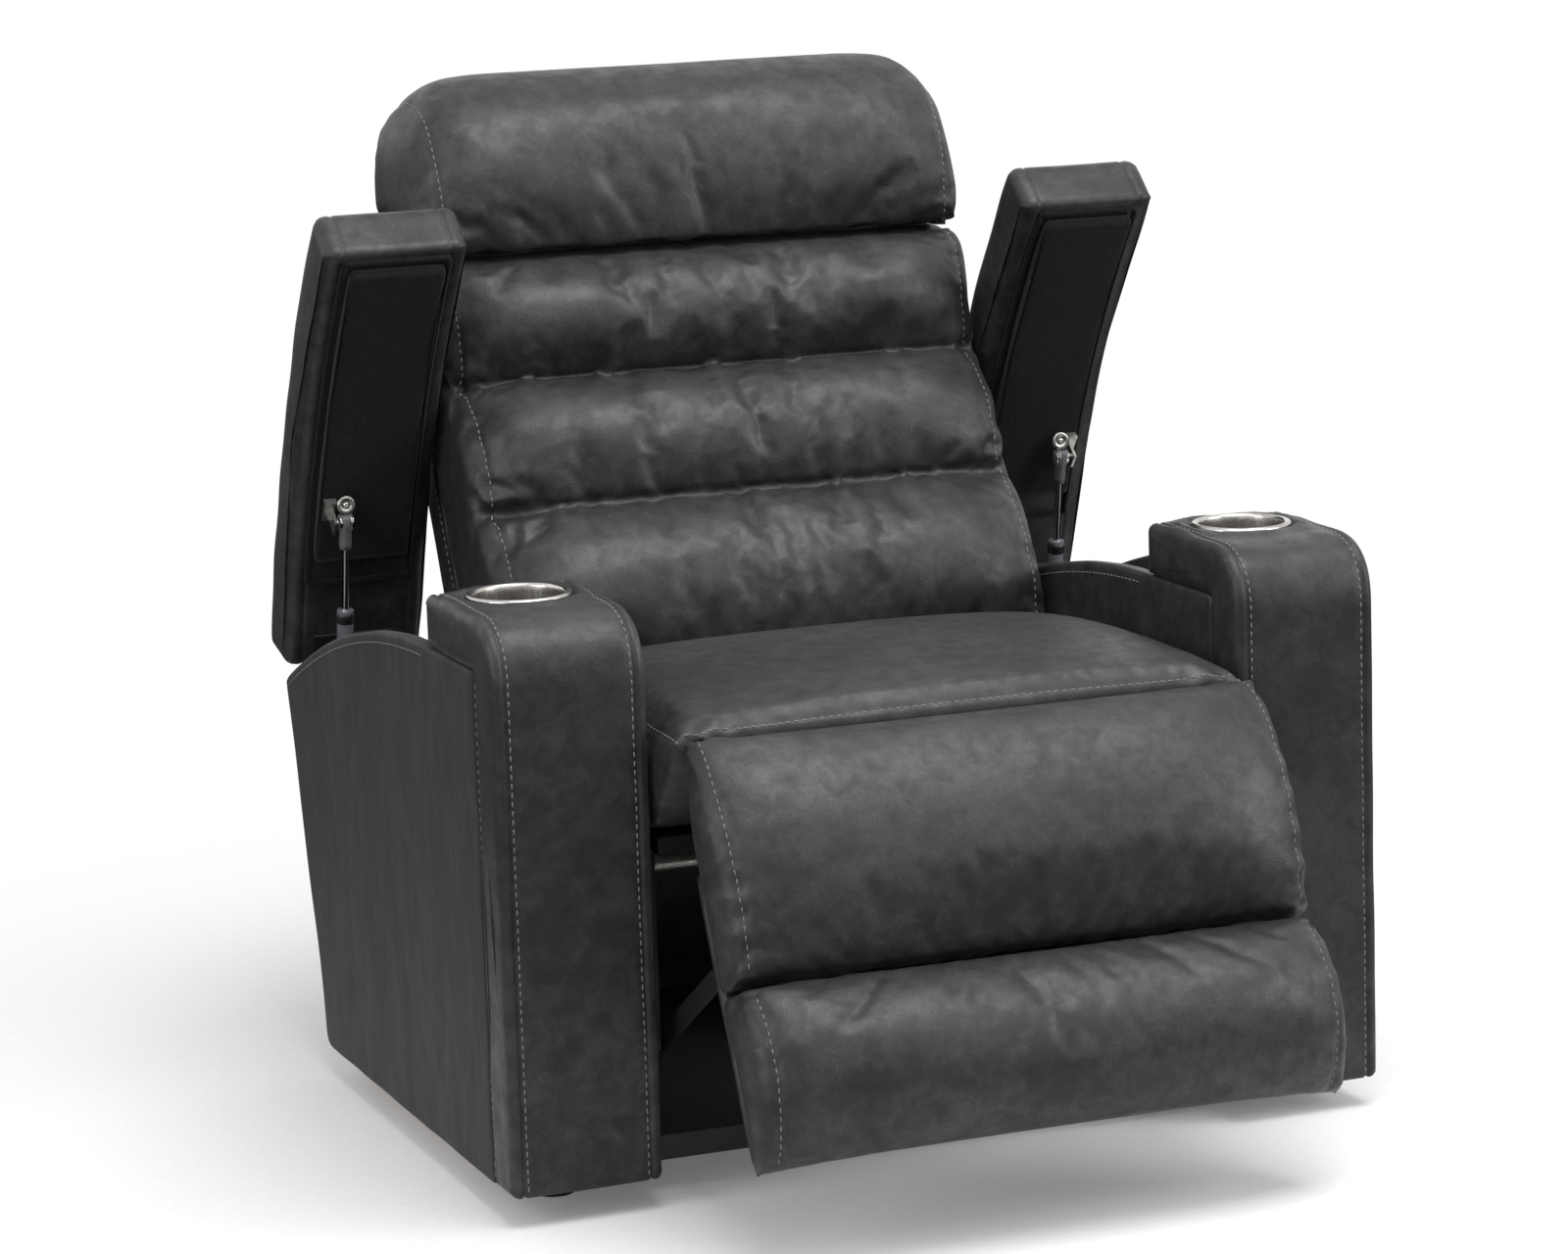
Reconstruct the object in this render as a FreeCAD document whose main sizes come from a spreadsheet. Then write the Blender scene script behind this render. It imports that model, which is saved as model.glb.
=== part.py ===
import FreeCAD, Part
import Sketcher
import math
import os
import re

# Cinema recliner seat, real size in millimetres, +Z up, +X to the viewer's right.
# The front of the chair looks towards -Y. The origin lies on the floor, on the centre line,
# in the middle of the chair's depth. The rest pose has both arm lids up and the leg rest part out.
# Depths named here run backwards from the front face of the arms, whose own place is arm_front.

SIZES = (
    ("total_width", 939, "across both arms"),
    ("arm_width", 155, "one arm"),
    ("arm_front", -296.6, "front face of the arms along Y"),
    ("panel_thick", 18, "upholstered side panel"),
    ("panel_lift", 30, "underside of the arms above the floor"),
    ("post_depth", 209, "front post, front to back"),
    ("post_height", 594, "top of the front post"),
    ("post_round", 58, "rounded top front of the post"),
    ("strip_depth", 60, "post cover in front of the side panels"),
    ("post_step", 54, "post above the crest of the arm panels"),
    ("arch_height", "=post_height - post_step", "crest of the arm panels"),
    ("arch_depth", 735, "rear end of the arch behind the arm front"),
    ("arch_drop", 122, "fall of the arch to its rear end"),
    ("heel_depth", 646, "rear end of the arm at the heel"),
    ("heel_height", 75, "height of the heel"),
    ("heel_round", 40, "rounded lower rear corner"),
    ("tray_height", 300, "floor of the storage box in the arm"),
    ("tray_thick", 9, "thickness of that floor"),
    ("foot_radius", 20, "glide foot"),
    ("foot_inset", 110, "glide foot from the end of the arm floor"),
    ("cup_depth_place", 143.5, "centre of the cup holder behind the arm front"),
    ("cup_rim_radius", 52, "rim of the cup holder"),
    ("cup_body_radius", 45, "outside of the cup"),
    ("cup_depth", 82, "cup below its rim"),
    ("cup_wall", 1.5, "sheet of the cup"),
    ("lid_gap", 1.5, "closed lid above the arch"),
    ("lid_thick", 67, "upholstered lid"),
    ("lid_front_gap", 6, "closed lid behind the post"),
    ("lid_rear_gap", 2, "lid end ahead of the arch end"),
    ("lid_open", 49.5, "lid angle from closed to the rest pose"),
    ("lid_edge", 15, "rounded edge of the lid"),
    ("liner_thick", 12, "inner board of the lid"),
    ("liner_side", 8, "inner board in from the side panels"),
    ("liner_front", 22, "inner board from the front end of the lid"),
    ("liner_rear", 125, "inner board from the hinge end of the lid"),
    ("hinge_back", 7, "hinge pin behind the arch end"),
    ("hinge_up", 3, "hinge pin above the arch end"),
    ("hinge_radius", 4, "hinge knuckle"),
    ("hinge_pin_radius", 2, "hinge pin"),
    ("leaf_thick", 2, "hinge leaf"),
    ("leaf_length", 34, "hinge leaf from the pin"),
    ("leaf_end_gap", 14, "hinge leaf in from the side panels"),
    ("strut_foot_depth", 684, "lower strut stud behind the arm front"),
    ("strut_foot_height", 380, "lower strut stud"),
    ("strut_eye_reach", 200.7, "upper strut stud from the hinge pin"),
    ("strut_eye_angle", 167.6, "direction of the upper stud with the lid closed"),
    ("strut_side", 50.5, "strut centre in from the outside of the arm"),
    ("strut_tube_radius", 9, "cylinder of the strut"),
    ("strut_tube_length", 122, "cylinder of the strut"),
    ("strut_rod_radius", 4, "rod of the strut"),
    ("strut_rod_inside", 30, "rod inside the cylinder at rest"),
    ("strut_bore_depth", 112, "bore of the cylinder"),
    ("strut_stud_radius", 4, "studs that carry the strut"),
    ("strut_end_radius", 8, "end fittings of the strut"),
    ("strut_end_width", 14, "end fittings along X"),
    ("run_clear", 0.06, "radial clearance of a running fit"),
    ("stud_plate_back", 14, "strut stud plate ahead of its stud"),
    ("stud_plate_down", 26, "strut stud plate below its stud"),
    ("stud_plate_deep", 26, "strut stud plate, front to back"),
    ("stud_plate_high", 44, "height of the strut stud plate"),
    ("ear_half", 9, "half width of the lid bracket's ear"),
    ("ear_high", 40, "height of the lid bracket's ear"),
    ("ear_thick", 3, "sheet of the lid bracket's ear"),
    ("ear_out", 4, "ear of the lid bracket beyond the strut end"),
    ("lug_half", 16, "half width of the lid bracket's foot"),
    ("lug_up", 13, "foot of the lid bracket above its stud"),
    ("lug_thick", 14, "thickness of the lid bracket's foot"),
    ("lug_high", 17, "height of the lid bracket's foot"),
    ("ball_long", 5, "stud on the lid bracket"),
    ("lid_end_share", 0.42, "lean of the lid's rear end as a share of its thickness"),
    ("heel_step", 6, "lower rear corner ahead of the heel"),
    ("side_clear", 0.5, "gap beside a moving piece"),
    ("soft_clear", 1.0, "gap beside a soft piece"),
    ("rail_size", 25, "square floor rail"),
    ("rail_lift", 32, "floor rail above the floor"),
    ("rail_front", 60, "front floor rail behind the arm front"),
    ("rail_rear", 560, "rear floor rail behind the arm front"),
    ("cover_depth", 592, "rear cover behind the arm front"),
    ("cover_thick", 14, "rear cover"),
    ("cover_foot", 34, "underside of the rear cover above the floor"),
    ("cover_top", 256, "top of the rear cover"),
    ("dust_thick", 2, "dust cloth under the mechanism"),
    ("plate_thick", 4, "steel side plates"),
    ("track_height", 196, "underside of the seat track"),
    ("track_deep", 14, "height of the seat track"),
    ("track_wide", 6, "track width along X"),
    ("seat_plate_front", 40, "front end of the seat side plate"),
    ("seat_plate_rear", 505, "rear end of the seat side plate"),
    ("seat_plate_foot", 225, "underside of the seat side plate"),
    ("seat_deck", 352, "underside of the seat rails"),
    ("seat_rail_high", 16, "height of the seat rails"),
    ("seat_rail_deep", 46, "depth of a seat rail"),
    ("seat_rail_front", 14, "front seat rail behind the arm front"),
    ("seat_rail_rear", 395, "rear seat rail behind the arm front"),
    ("webbing_wide", 50, "seat webbing"),
    ("webbing_thick", 2, "seat webbing"),
    ("webbing_pitch", 98, "seat webbing"),
    ("cushion_side_gap", 4.5, "gap between the arm and the seat cushion"),
    ("cushion_half", "=total_width / 2 - arm_width - cushion_side_gap", "half width of the seat cushion"),
    ("seat_seam_out", 50, "front seam of the seat ahead of the arm front"),
    ("seat_seam_height", 481, "front seam of the seat"),
    ("seat_rear_depth", 421, "rear end of the seat cushion"),
    ("seat_rear_height", 462, "rear top edge of the seat cushion"),
    ("seat_crown", 24, "crown of the seat along its depth"),
    ("seat_crown_across", 12, "crown of the seat across its width"),
    ("crank_depth", 65, "front crank pivot behind the arm front"),
    ("crank_height", 335, "front crank pivot"),
    ("crank_length", 185, "both cranks, pivot to pivot"),
    ("crank_rest", 90, "crank below the forward direction at rest"),
    ("crank_space", 50, "rear crank pivot from the front one"),
    ("crank_space_tilt", 18, "slope of the line between the crank pivots"),
    ("link_half", 10, "half width of a link"),
    ("link_thick", 5, "links and brackets"),
    ("link_step", 1, "gap between layers of links"),
    ("pivot_radius", 5, "link studs"),
    ("coupler_reach", 160, "coupler forward of the crank end"),
    ("coupler_rise", 100, "coupler above the crank end"),
    ("tube_radius", 12.5, "torsion tube"),
    ("lever_length", 60, "lever on the torsion tube"),
    ("lever_rest", 106.5, "lever below the forward direction at rest"),
    ("rest_tilt", 27, "leg rest from vertical at rest"),
    ("board_thick", 16, "leg rest board"),
    ("board_ahead", 16, "leg rest board ahead of its pivot"),
    ("board_up", 100, "leg rest board above its pivot"),
    ("board_down", 185, "leg rest board below its pivot"),
    ("board_side_gap", 18.5, "gap between the arm and the leg rest board"),
    ("board_half", "=total_width / 2 - arm_width - board_side_gap", "half width of the leg rest board"),
    ("pad_side_gap", 12.5, "gap between the arm and the leg rest pads"),
    ("pad_half", "=total_width / 2 - arm_width - pad_side_gap", "half width of the leg rest pads"),
    ("pad_crease_out", 58, "crease ahead of the board"),
    ("pad_crease_down", 25, "crease below the pivot"),
    ("pad_top_out", 38, "upper pad tip ahead of the board"),
    ("pad_top_up", 229, "upper pad tip above the pivot"),
    ("pad_toe_out", 26, "lower pad toe ahead of the board"),
    ("pad_toe_down", 201, "lower pad toe below the pivot"),
    ("pad_upper_bulge", 52, "upper pad, swell at the middle"),
    ("pad_lower_bulge", 62, "lower pad, swell at the middle"),
    ("recline_depth", 480, "back pivot behind the arm front"),
    ("recline_height", 330, "back pivot"),
    ("back_stud_radius", 6, "back pivot stud"),
    ("frame_foot_depth", 545, "front of the back frame at its foot"),
    ("frame_foot_height", 330, "foot of the back frame"),
    ("frame_top_depth", 815, "front of the back frame at its top"),
    ("frame_top_height", 880, "top of the back frame"),
    ("frame_deep", 34, "back frame, front to back"),
    ("frame_steel", 5, "back frame side plate"),
    ("frame_side_gap", 22.5, "gap between the arm and the back frame plates"),
    ("frame_half", "=total_width / 2 - arm_width - frame_side_gap", "outer face of the back frame plates"),
    ("cross_deep", 20, "back cross rails, front to back"),
    ("cross_high", 48, "back cross rails along the frame"),
    ("outer_back_thick", 16, "outer back panel"),
    ("outer_back_side_gap", 14.5, "gap between the arm and the outer back"),
    ("outer_back_half", "=total_width / 2 - arm_width - outer_back_side_gap", "half width of the outer back"),
    ("back_side_gap", 10.5, "gap between the arm and the back cushion"),
    ("back_half", "=total_width / 2 - arm_width - back_side_gap", "half width of the back cushion"),
    ("back_sole_height", 402, "underside of the back cushion"),
    ("back_foot_depth", 428, "lowest roll, lower edge"),
    ("back_foot_height", 500, "lowest roll, lower edge"),
    ("crease_low_depth", 513, "crease between the lowest rolls"),
    ("crease_low_height", 612, "crease between the lowest rolls"),
    ("crease_mid_depth", 604, "crease between the upper rolls"),
    ("crease_mid_height", 735, "crease between the upper rolls"),
    ("crease_top_depth", 648, "crease under the headrest"),
    ("crease_top_height", 862, "crease under the headrest"),
    ("roll_swell", 36, "swell of a roll at the middle"),
    ("head_gap", 8.5, "headrest above the back cushion"),
    ("head_brow_depth", 700, "front top edge of the headrest"),
    ("head_brow_height", 1036, "front top edge of the headrest"),
    ("head_nape_depth", 848, "rear top edge of the headrest"),
    ("head_nape_height", 1030, "rear top edge of the headrest"),
    ("head_rear_depth", 852, "rear lower edge of the headrest"),
    ("head_rear_height", 905, "rear lower edge of the headrest"),
    ("head_crown", 30, "swell of the headrest at its top"),
    ("head_swell", 30, "swell of the headrest at its front"),
    ("head_corner", 75, "fall of the headrest at its corners"),
    ("head_pivot_back", 24, "headrest pivot behind the top crease"),
    ("head_pivot_up", 12, "headrest pivot above the top crease"),
    ("head_board_thick", 12, "board in the headrest"),
    ("head_board_inset", 30, "that board ahead of the headrest's rear"),
    ("motor_rear", 385, "rear end of the drive motor"),
    ("motor_radius", 22, "body of the drive motor"),
    ("motor_long", 120, "body of the drive motor"),
    ("ram_tube_radius", 13, "outer tube of the drive"),
    ("ram_rod_radius", 7, "inner rod of the drive"),
    ("ram_rod_inside", 90, "inner rod in the outer tube at rest"),
    ("ram_tube_front", 190, "front end of the outer tube"),
    ("switch_depth", 128, "centre of the switch plate"),
    ("switch_drop", 28, "centre of the switch plate below the post top"),
    ("switch_height", "=post_height - switch_drop", "centre of the switch plate"),
    ("switch_long", 74, "switch plate"),
    ("switch_high", 26, "switch plate"),
    ("switch_thick", 2.5, "switch plate"),
    ("button_radius", 8, "push button"),
    ("button_pitch", 32, "between the push buttons"),
    ("button_out", 3.5, "push button proud of its plate"),
    ("button_inside", 9, "push button behind the plate's face"),
    ("button_travel", 2.5, "push button travel"),
    ("inlet_wide", 24, "power inlet"),
    ("inlet_high", 18, "power inlet"),
    ("inlet_deep", 14, "power inlet"),
)

doc = FreeCAD.newDocument("CinemaRecliner")
sheet = doc.addObject("Spreadsheet::Sheet", "Sizes")
for row, (alias, number, note) in enumerate(SIZES, start=1):
    sheet.set("A%d" % row, note)
    sheet.set("B%d" % row, str(number))
    sheet.setAlias("B%d" % row, alias)
doc.recompute()

ALIASES = {alias for alias, number, note in SIZES}
X_AXIS = FreeCAD.Vector(1, 0, 0)
Y_AXIS = FreeCAD.Vector(0, 1, 0)
OUTSIDE = "total_width / 2"
INSIDE = "total_width / 2 - arm_width"
nodes = {}


def bound(text):
    """Give a formula its sheet name before every size."""
    return re.sub(r"[a-z_]+", lambda word: "Sizes." + word[0] if word[0] in ALIASES else word[0], text)


def value(text):
    """Work out a formula of sizes as a plain number."""
    result = sheet.evalExpression(bound(text))
    return float(getattr(result, "Value", result))


def bind(item, **formulas):
    """Bind properties of an object to formulas of sizes."""
    for name, text in formulas.items():
        item.setExpression(name, bound(text))
    return item


def place(item, x, y, z):
    """Bind the place of an object, with y measured behind the arm front."""
    item.setExpression("Placement.Base.x", bound(x))
    item.setExpression("Placement.Base.y", bound("arm_front + " + y))
    item.setExpression("Placement.Base.z", bound(z))
    return item


def node(item, label):
    """Register an object as a sub-part with a label of its own."""
    item.Label = label
    nodes[label] = item
    return item


def box(name, x, y, z, wide, deep, high):
    """Make a block from its lower corner and three sizes."""
    block = doc.addObject("Part::Box", name)
    bind(block, Length=wide, Width=deep, Height=high)
    return place(block, x, y, z)


def round_bar(name, x, y, z, radius, length, turn=None):
    """Make a cylinder along X, or along another direction with a turn of its own."""
    bar = doc.addObject("Part::Cylinder", name)
    bind(bar, Radius=radius, Height=length)
    bar.Placement.Rotation = turn or FreeCAD.Rotation(Y_AXIS, 90)
    return place(bar, x, y, z)


def cut(name, base, tool):
    """Take one solid out of another."""
    result = doc.addObject("Part::Cut", name)
    result.Base = base
    result.Tool = tool
    return result


def fuse(name, *parts):
    """Join solids into one."""
    result = doc.addObject("Part::MultiFuse", name)
    result.Shapes = list(parts)
    result.Refine = True
    return result


def group(name, *parts):
    """Keep identical solids together in one sub-part."""
    result = doc.addObject("Part::Compound", name)
    result.Links = list(parts)
    return result


def mirror(name, source):
    """Repeat a piece on the other side of the centre line."""
    result = doc.addObject("Part::Mirroring", name)
    result.Source = source
    result.Normal = X_AXIS
    return result


def both_sides(right, base_label):
    """Register a right hand piece and its mirror image."""
    node(right, base_label + "_right")
    node(mirror(base_label + "_mirror", right), base_label + "_left")


def pair(right, label):
    """Register a right hand piece and its mirror image as one sub-part."""
    node(group(label + "_pair", right, mirror(label + "_mirror", right)), label)


def profile(name, corners, start, thick, arcs=()):
    """Pad an outline in the YZ plane along X.

    A corner is a pair of formulas, the first measured behind the arm front. An entry of arcs
    gives the side that leaves that corner and the centre of its arc, which runs clockwise when
    it is marked so.
    """
    body = doc.addObject("PartDesign::Body", name)
    plane = next(item for item in body.Origin.OriginFeatures if item.Role == "YZ_Plane")
    sketch = body.newObject("Sketcher::SketchObject", name + "_sketch")
    sketch.AttachmentSupport = [(plane, "")]
    sketch.MapMode = "FlatFace"
    sketch.setExpression("AttachmentOffset.Base.z", bound(start))
    texts = [("arm_front + " + y, z) for y, z in corners]
    points = [FreeCAD.Vector(value(y), value(z), 0) for y, z in texts]
    centres = {index: (centre, clockwise) for index, centre, clockwise in arcs}
    count = len(points)
    starts = []
    for index in range(count):
        here = points[index]
        there = points[(index + 1) % count]
        if index in centres:
            centre_text, clockwise = centres[index]
            hub = FreeCAD.Vector(value("arm_front + " + centre_text[0]), value(centre_text[1]), 0)
            radius = (here - hub).Length
            first, last = (there, here) if clockwise else (here, there)
            angles = [math.atan2(p.y - hub.y, p.x - hub.x) for p in (first, last)]
            circle = Part.Circle(hub, FreeCAD.Vector(0, 0, 1), radius)
            sketch.addGeometry(Part.ArcOfCircle(circle, angles[0], angles[1]), False)
            starts.append((2, 1) if clockwise else (1, 2))
        else:
            sketch.addGeometry(Part.LineSegment(here, there), False)
            starts.append((1, 2))
    for index in range(count):
        following = (index + 1) % count
        join = Sketcher.Constraint("Coincident", index, starts[index][1], following, starts[following][0])
        sketch.addConstraint(join)
    for index in range(count):
        for kind, text, number in (("DistanceX", texts[index][0], points[index].x),
                                   ("DistanceY", texts[index][1], points[index].y)):
            at = sketch.addConstraint(Sketcher.Constraint(kind, -1, 1, index, starts[index][0], number))
            sketch.setExpression("Constraints[%d]" % at, bound(text))
        if index in centres:
            text = "arm_front + " + centres[index][0][0]
            hub = Sketcher.Constraint("DistanceX", -1, 1, index, 3, value(text))
            sketch.setExpression("Constraints[%d]" % sketch.addConstraint(hub), bound(text))
    pad = body.newObject("PartDesign::Pad", name + "_pad")
    pad.Profile = sketch
    bind(pad, Length=thick)
    body.Tip = pad
    doc.recompute()
    return body


def round_edges(body, radius, chosen):
    """Round the chosen edges of a body."""
    base = body.Tip
    names = ["Edge%d" % at for at, edge in enumerate(base.Shape.Edges, start=1) if chosen(edge)]
    fillet = body.newObject("PartDesign::Fillet", base.Name + "_round")
    fillet.Base = (base, names)
    bind(fillet, Radius=radius)
    body.Tip = fillet
    doc.recompute()
    return body


def turned_about(depth, height, angle):
    """Placement that turns a piece about an X axis at a depth behind the arm front and a height."""
    hub = FreeCAD.Vector(0, value("arm_front + " + depth), value(height))
    turn = FreeCAD.Rotation(X_AXIS, angle)
    return FreeCAD.Placement(hub - turn.multVec(hub), turn)


def soft(label, stations, carved=(), placement=None):
    """Loft a soft solid along X through outlines of lines and arcs.

    A station is its x and a list of corners (y, z, swell), where the side that leaves the corner
    is an arc with that swell to the left of its direction, or a line where the swell is 0.
    """
    wires = []
    for x, corners in stations:
        edges = []
        for index, (y, z, swell) in enumerate(corners):
            following = corners[(index + 1) % len(corners)]
            here = FreeCAD.Vector(x, y, z)
            there = FreeCAD.Vector(x, following[0], following[1])
            if swell:
                along = (there - here).normalize()
                out = FreeCAD.Vector(0, -along.z, along.y)
                middle = (here + there) * 0.5 + out * swell
                edges.append(Part.Arc(here, middle, there).toShape())
            else:
                edges.append(Part.LineSegment(here, there).toShape())
        wires.append(Part.Wire(edges))
    shape = Part.makeLoft(wires, True, False)
    if placement:
        shape = shape.transformed(placement.toMatrix())
    for tool in carved:
        shape = shape.cut(tool)
    item = doc.addObject("Part::Feature", label + "_form")
    item.Shape = shape
    return node(item, label)


def stations_across(half, shares, outline):
    """Give an outline at each share of the half width, with its fullness from a soft crown."""
    made = []
    for share in shares:
        fullness = math.sqrt(1 - abs(share) ** 3)
        made.append((half * share, outline(abs(share), fullness)))
    return made



SHARES = (-1, -0.97, -0.86, -0.66, -0.36, 0, 0.36, 0.66, 0.86, 0.97, 1)


def make_arm_shell():
    """Front post, two side panels, rear board and floors of one arm, then its mirror image."""
    hub_drop = "arch_height - ((arch_depth - post_depth)^2 + arch_drop^2) / (2 * arch_drop)"
    arc = ((2, ("post_depth", hub_drop), True),)
    outline = [("strip_depth", "panel_lift"), ("strip_depth", "arch_height"),
               ("post_depth", "arch_height"), ("arch_depth", "arch_height - arch_drop"),
               ("heel_depth", "heel_height"), ("heel_depth - heel_step", "panel_lift")]
    for label, start in (("outer_panel", OUTSIDE + " - panel_thick"), ("inner_panel", INSIDE)):
        panel = profile(label + "_body", outline, start, "panel_thick", arc)
        heel = value("arm_front + heel_depth") - value("heel_round")
        round_edges(panel, "heel_round * 0.5", lambda edge: is_across(edge) and edge.CenterOfMass.y > heel
                    and edge.CenterOfMass.z < value("panel_lift") + 1)
        both_sides(panel, label)

    block = profile("post_block", [("0", "panel_lift"), ("0", "post_height"),
                                   ("post_depth", "post_height"), ("post_depth", "panel_lift")],
                    INSIDE, "arm_width")
    round_edges(block, "post_round", lambda edge: is_across(edge) and edge.CenterOfMass.z > value("post_height") - 1
                and edge.CenterOfMass.y < value("arm_front") + 1)
    rebate_deep = "post_depth - strip_depth"
    rebate_high = "arch_height - panel_lift"
    rebates = [box("rebate_outer", OUTSIDE + " - panel_thick", "strip_depth", "panel_lift",
                   "panel_thick + 1", rebate_deep + " + 1", rebate_high),
               box("rebate_inner", INSIDE + " - 1", "strip_depth", "panel_lift",
                   "panel_thick + 1", rebate_deep + " + 1", rebate_high),
               round_bar("cup_bore", INSIDE + " + arm_width / 2", "cup_depth_place",
                         "post_height - cup_depth - 2", "cup_body_radius + 0.2", "cup_depth + 10",
                         FreeCAD.Rotation()),
               round_bar("cup_seat", INSIDE + " + arm_width / 2", "cup_depth_place",
                         "post_height - cup_wall", "cup_rim_radius + 0.2", "10", FreeCAD.Rotation())]
    both_sides(cut("post_cut", block, fuse("post_tools", *rebates)), "front_post")

    slope = "(arch_depth - heel_depth) / (arch_height - arch_drop - heel_height)"
    low = "heel_height"
    high = "arch_height - arch_drop - hinge_up - 2"
    rear = lambda z: "heel_depth - leaf_thick + (%s - heel_height) * %s" % (z, slope)
    board = profile("rear_board_body", [(rear(low), low), (rear("(%s)" % high), high),
                                        (rear("(%s)" % high) + " - panel_thick", high),
                                        (rear(low) + " - panel_thick", low)],
                    INSIDE + " + panel_thick", "arm_width - 2 * panel_thick")
    both_sides(board, "arm_rear_board")

    floor = box("arm_floor_box", INSIDE + " + panel_thick", "post_depth", "panel_lift",
                "arm_width - 2 * panel_thick", "heel_depth - heel_round - post_depth", "panel_thick")
    both_sides(floor, "arm_floor")
    tray = box("tray_box", INSIDE + " + panel_thick", "post_depth", "tray_height",
               "arm_width - 2 * panel_thick",
               rear("tray_height") + " - panel_thick - 2 - post_depth", "tray_thick")
    both_sides(tray, "storage_floor")


def is_across(edge):
    """Tell whether an edge runs along X."""
    ends = [vertex.Point for vertex in edge.Vertexes]
    return len(ends) == 2 and abs(ends[0].x - ends[1].x) > 1 and abs(ends[0].z - ends[1].z) < 0.01


def make_cups():
    """Stainless cup of one holder, turned about its own axis, then its mirror image."""
    body = doc.addObject("PartDesign::Body", "cup_body")
    plane = next(item for item in body.Origin.OriginFeatures if item.Role == "XZ_Plane")
    sketch = body.newObject("Sketcher::SketchObject", "cup_sketch")
    sketch.AttachmentSupport = [(plane, "")]
    sketch.MapMode = "FlatFace"
    corners = [("0", "-cup_depth"), ("cup_body_radius", "-cup_depth"), ("cup_body_radius", "-cup_wall"),
               ("cup_rim_radius", "-cup_wall"), ("cup_rim_radius", "0"),
               ("cup_body_radius - cup_wall", "0"), ("cup_body_radius - cup_wall", "cup_wall - cup_depth"),
               ("0", "cup_wall - cup_depth")]
    points = [FreeCAD.Vector(value(x), value(z), 0) for x, z in corners]
    count = len(points)
    for index in range(count):
        sketch.addGeometry(Part.LineSegment(points[index], points[(index + 1) % count]), False)
    for index in range(count):
        sketch.addConstraint(Sketcher.Constraint("Coincident", index, 2, (index + 1) % count, 1))
        for kind, text, number in (("DistanceX", corners[index][0], points[index].x),
                                   ("DistanceY", corners[index][1], points[index].y)):
            at = sketch.addConstraint(Sketcher.Constraint(kind, -1, 1, index, 1, number))
            sketch.setExpression("Constraints[%d]" % at, bound(text))
    turned = body.newObject("PartDesign::Revolution", "cup_revolution")
    turned.Profile = sketch
    turned.ReferenceAxis = (sketch, ["V_Axis"])
    turned.Angle = 360
    body.Tip = turned
    place(body, INSIDE + " + arm_width / 2", "cup_depth_place", "post_height")
    both_sides(body, "cup_holder")


def make_feet():
    """Four glide feet under the arm floors and posts."""
    middle = INSIDE + " + arm_width / 2"
    upright = FreeCAD.Rotation()
    front = round_bar("foot_front", middle, "foot_inset", "0", "foot_radius", "panel_lift", upright)
    rear = round_bar("foot_rear", middle, "heel_depth - heel_round - foot_inset", "0",
                     "foot_radius", "panel_lift", upright)
    feet = [front, rear, mirror("foot_front_mirror", front), mirror("foot_rear_mirror", rear)]
    node(group("foot_group", *feet), "glide_feet")


def arch_circle():
    """Centre (depth formula and height formula) and radius of the arm's arch."""
    fall = value("arch_drop")
    run = value("arch_depth - post_depth")
    radius = (run ** 2 + fall ** 2) / (2 * fall)
    return "((arch_depth - post_depth)^2 + arch_drop^2) / (2 * arch_drop)", radius


def make_lids():
    """Arched lid, its inner board and the moving hinge leaf, drawn closed and turned open."""
    radius_text, radius = arch_circle()
    hub_y = "post_depth"
    hub_z = "arch_height - " + radius_text
    opened = turned_about("arch_depth + hinge_back", "arch_height - arch_drop + hinge_up", -value("lid_open"))

    def ring_corner(depth_text, offset_text):
        reach = "(%s + %s)" % (radius_text, offset_text)
        return depth_text, "%s + sqrt(%s^2 - (%s - post_depth)^2)" % (hub_z, reach, depth_text)

    front = "(post_depth + lid_front_gap)"
    rear = "(arch_depth - lid_rear_gap)"
    top_rear = "(arch_depth - lid_rear_gap + lid_thick * lid_end_share)"
    under = "lid_gap"
    over = "(lid_gap + lid_thick)"
    corners = [ring_corner(front, under), ring_corner(front, over), ring_corner(top_rear, over),
               ring_corner(rear, under)]
    lid = profile("lid_body", corners, INSIDE, "arm_width",
                  ((1, (hub_y, hub_z), True), (3, (hub_y, hub_z), False)))
    hub = FreeCAD.Vector(0, value("arm_front + post_depth"), value(hub_z))
    outer = value("lid_gap + lid_thick") + radius
    round_edges(lid, "lid_edge", lambda edge: all(
        abs(math.hypot(v.Point.y - hub.y, v.Point.z - hub.z) - outer) < 0.5 for v in edge.Vertexes))
    lid.Placement = opened
    both_sides(lid, "lid_pad")

    liner_front = "(post_depth + lid_front_gap + liner_front)"
    liner_rear = "(arch_depth - lid_rear_gap - liner_rear)"
    inner = "(lid_gap - liner_thick)"
    corners = [ring_corner(liner_front, inner), ring_corner(liner_front, under),
               ring_corner(liner_rear, under), ring_corner(liner_rear, inner)]
    liner = profile("liner_body", corners, INSIDE + " + panel_thick + liner_side",
                    "arm_width - 2 * panel_thick - 2 * liner_side",
                    ((1, (hub_y, hub_z), True), (3, (hub_y, hub_z), False)))
    liner.Placement = opened
    both_sides(liner, "lid_liner")
    return opened


def rest_point(depth_text, height_text):
    """Give a point of the YZ plane from formulas, with y measured behind the arm front."""
    return FreeCAD.Vector(0, value("arm_front + " + depth_text), value(height_text))


def lid_hub():
    """Point of the lid's hinge pin."""
    return rest_point("arch_depth + hinge_back", "arch_height - arch_drop + hinge_up")


def direction(angle):
    """Unit vector in the YZ plane, measured from +Y towards +Z."""
    return FreeCAD.Vector(0, math.cos(math.radians(angle)), math.sin(math.radians(angle)))


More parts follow.
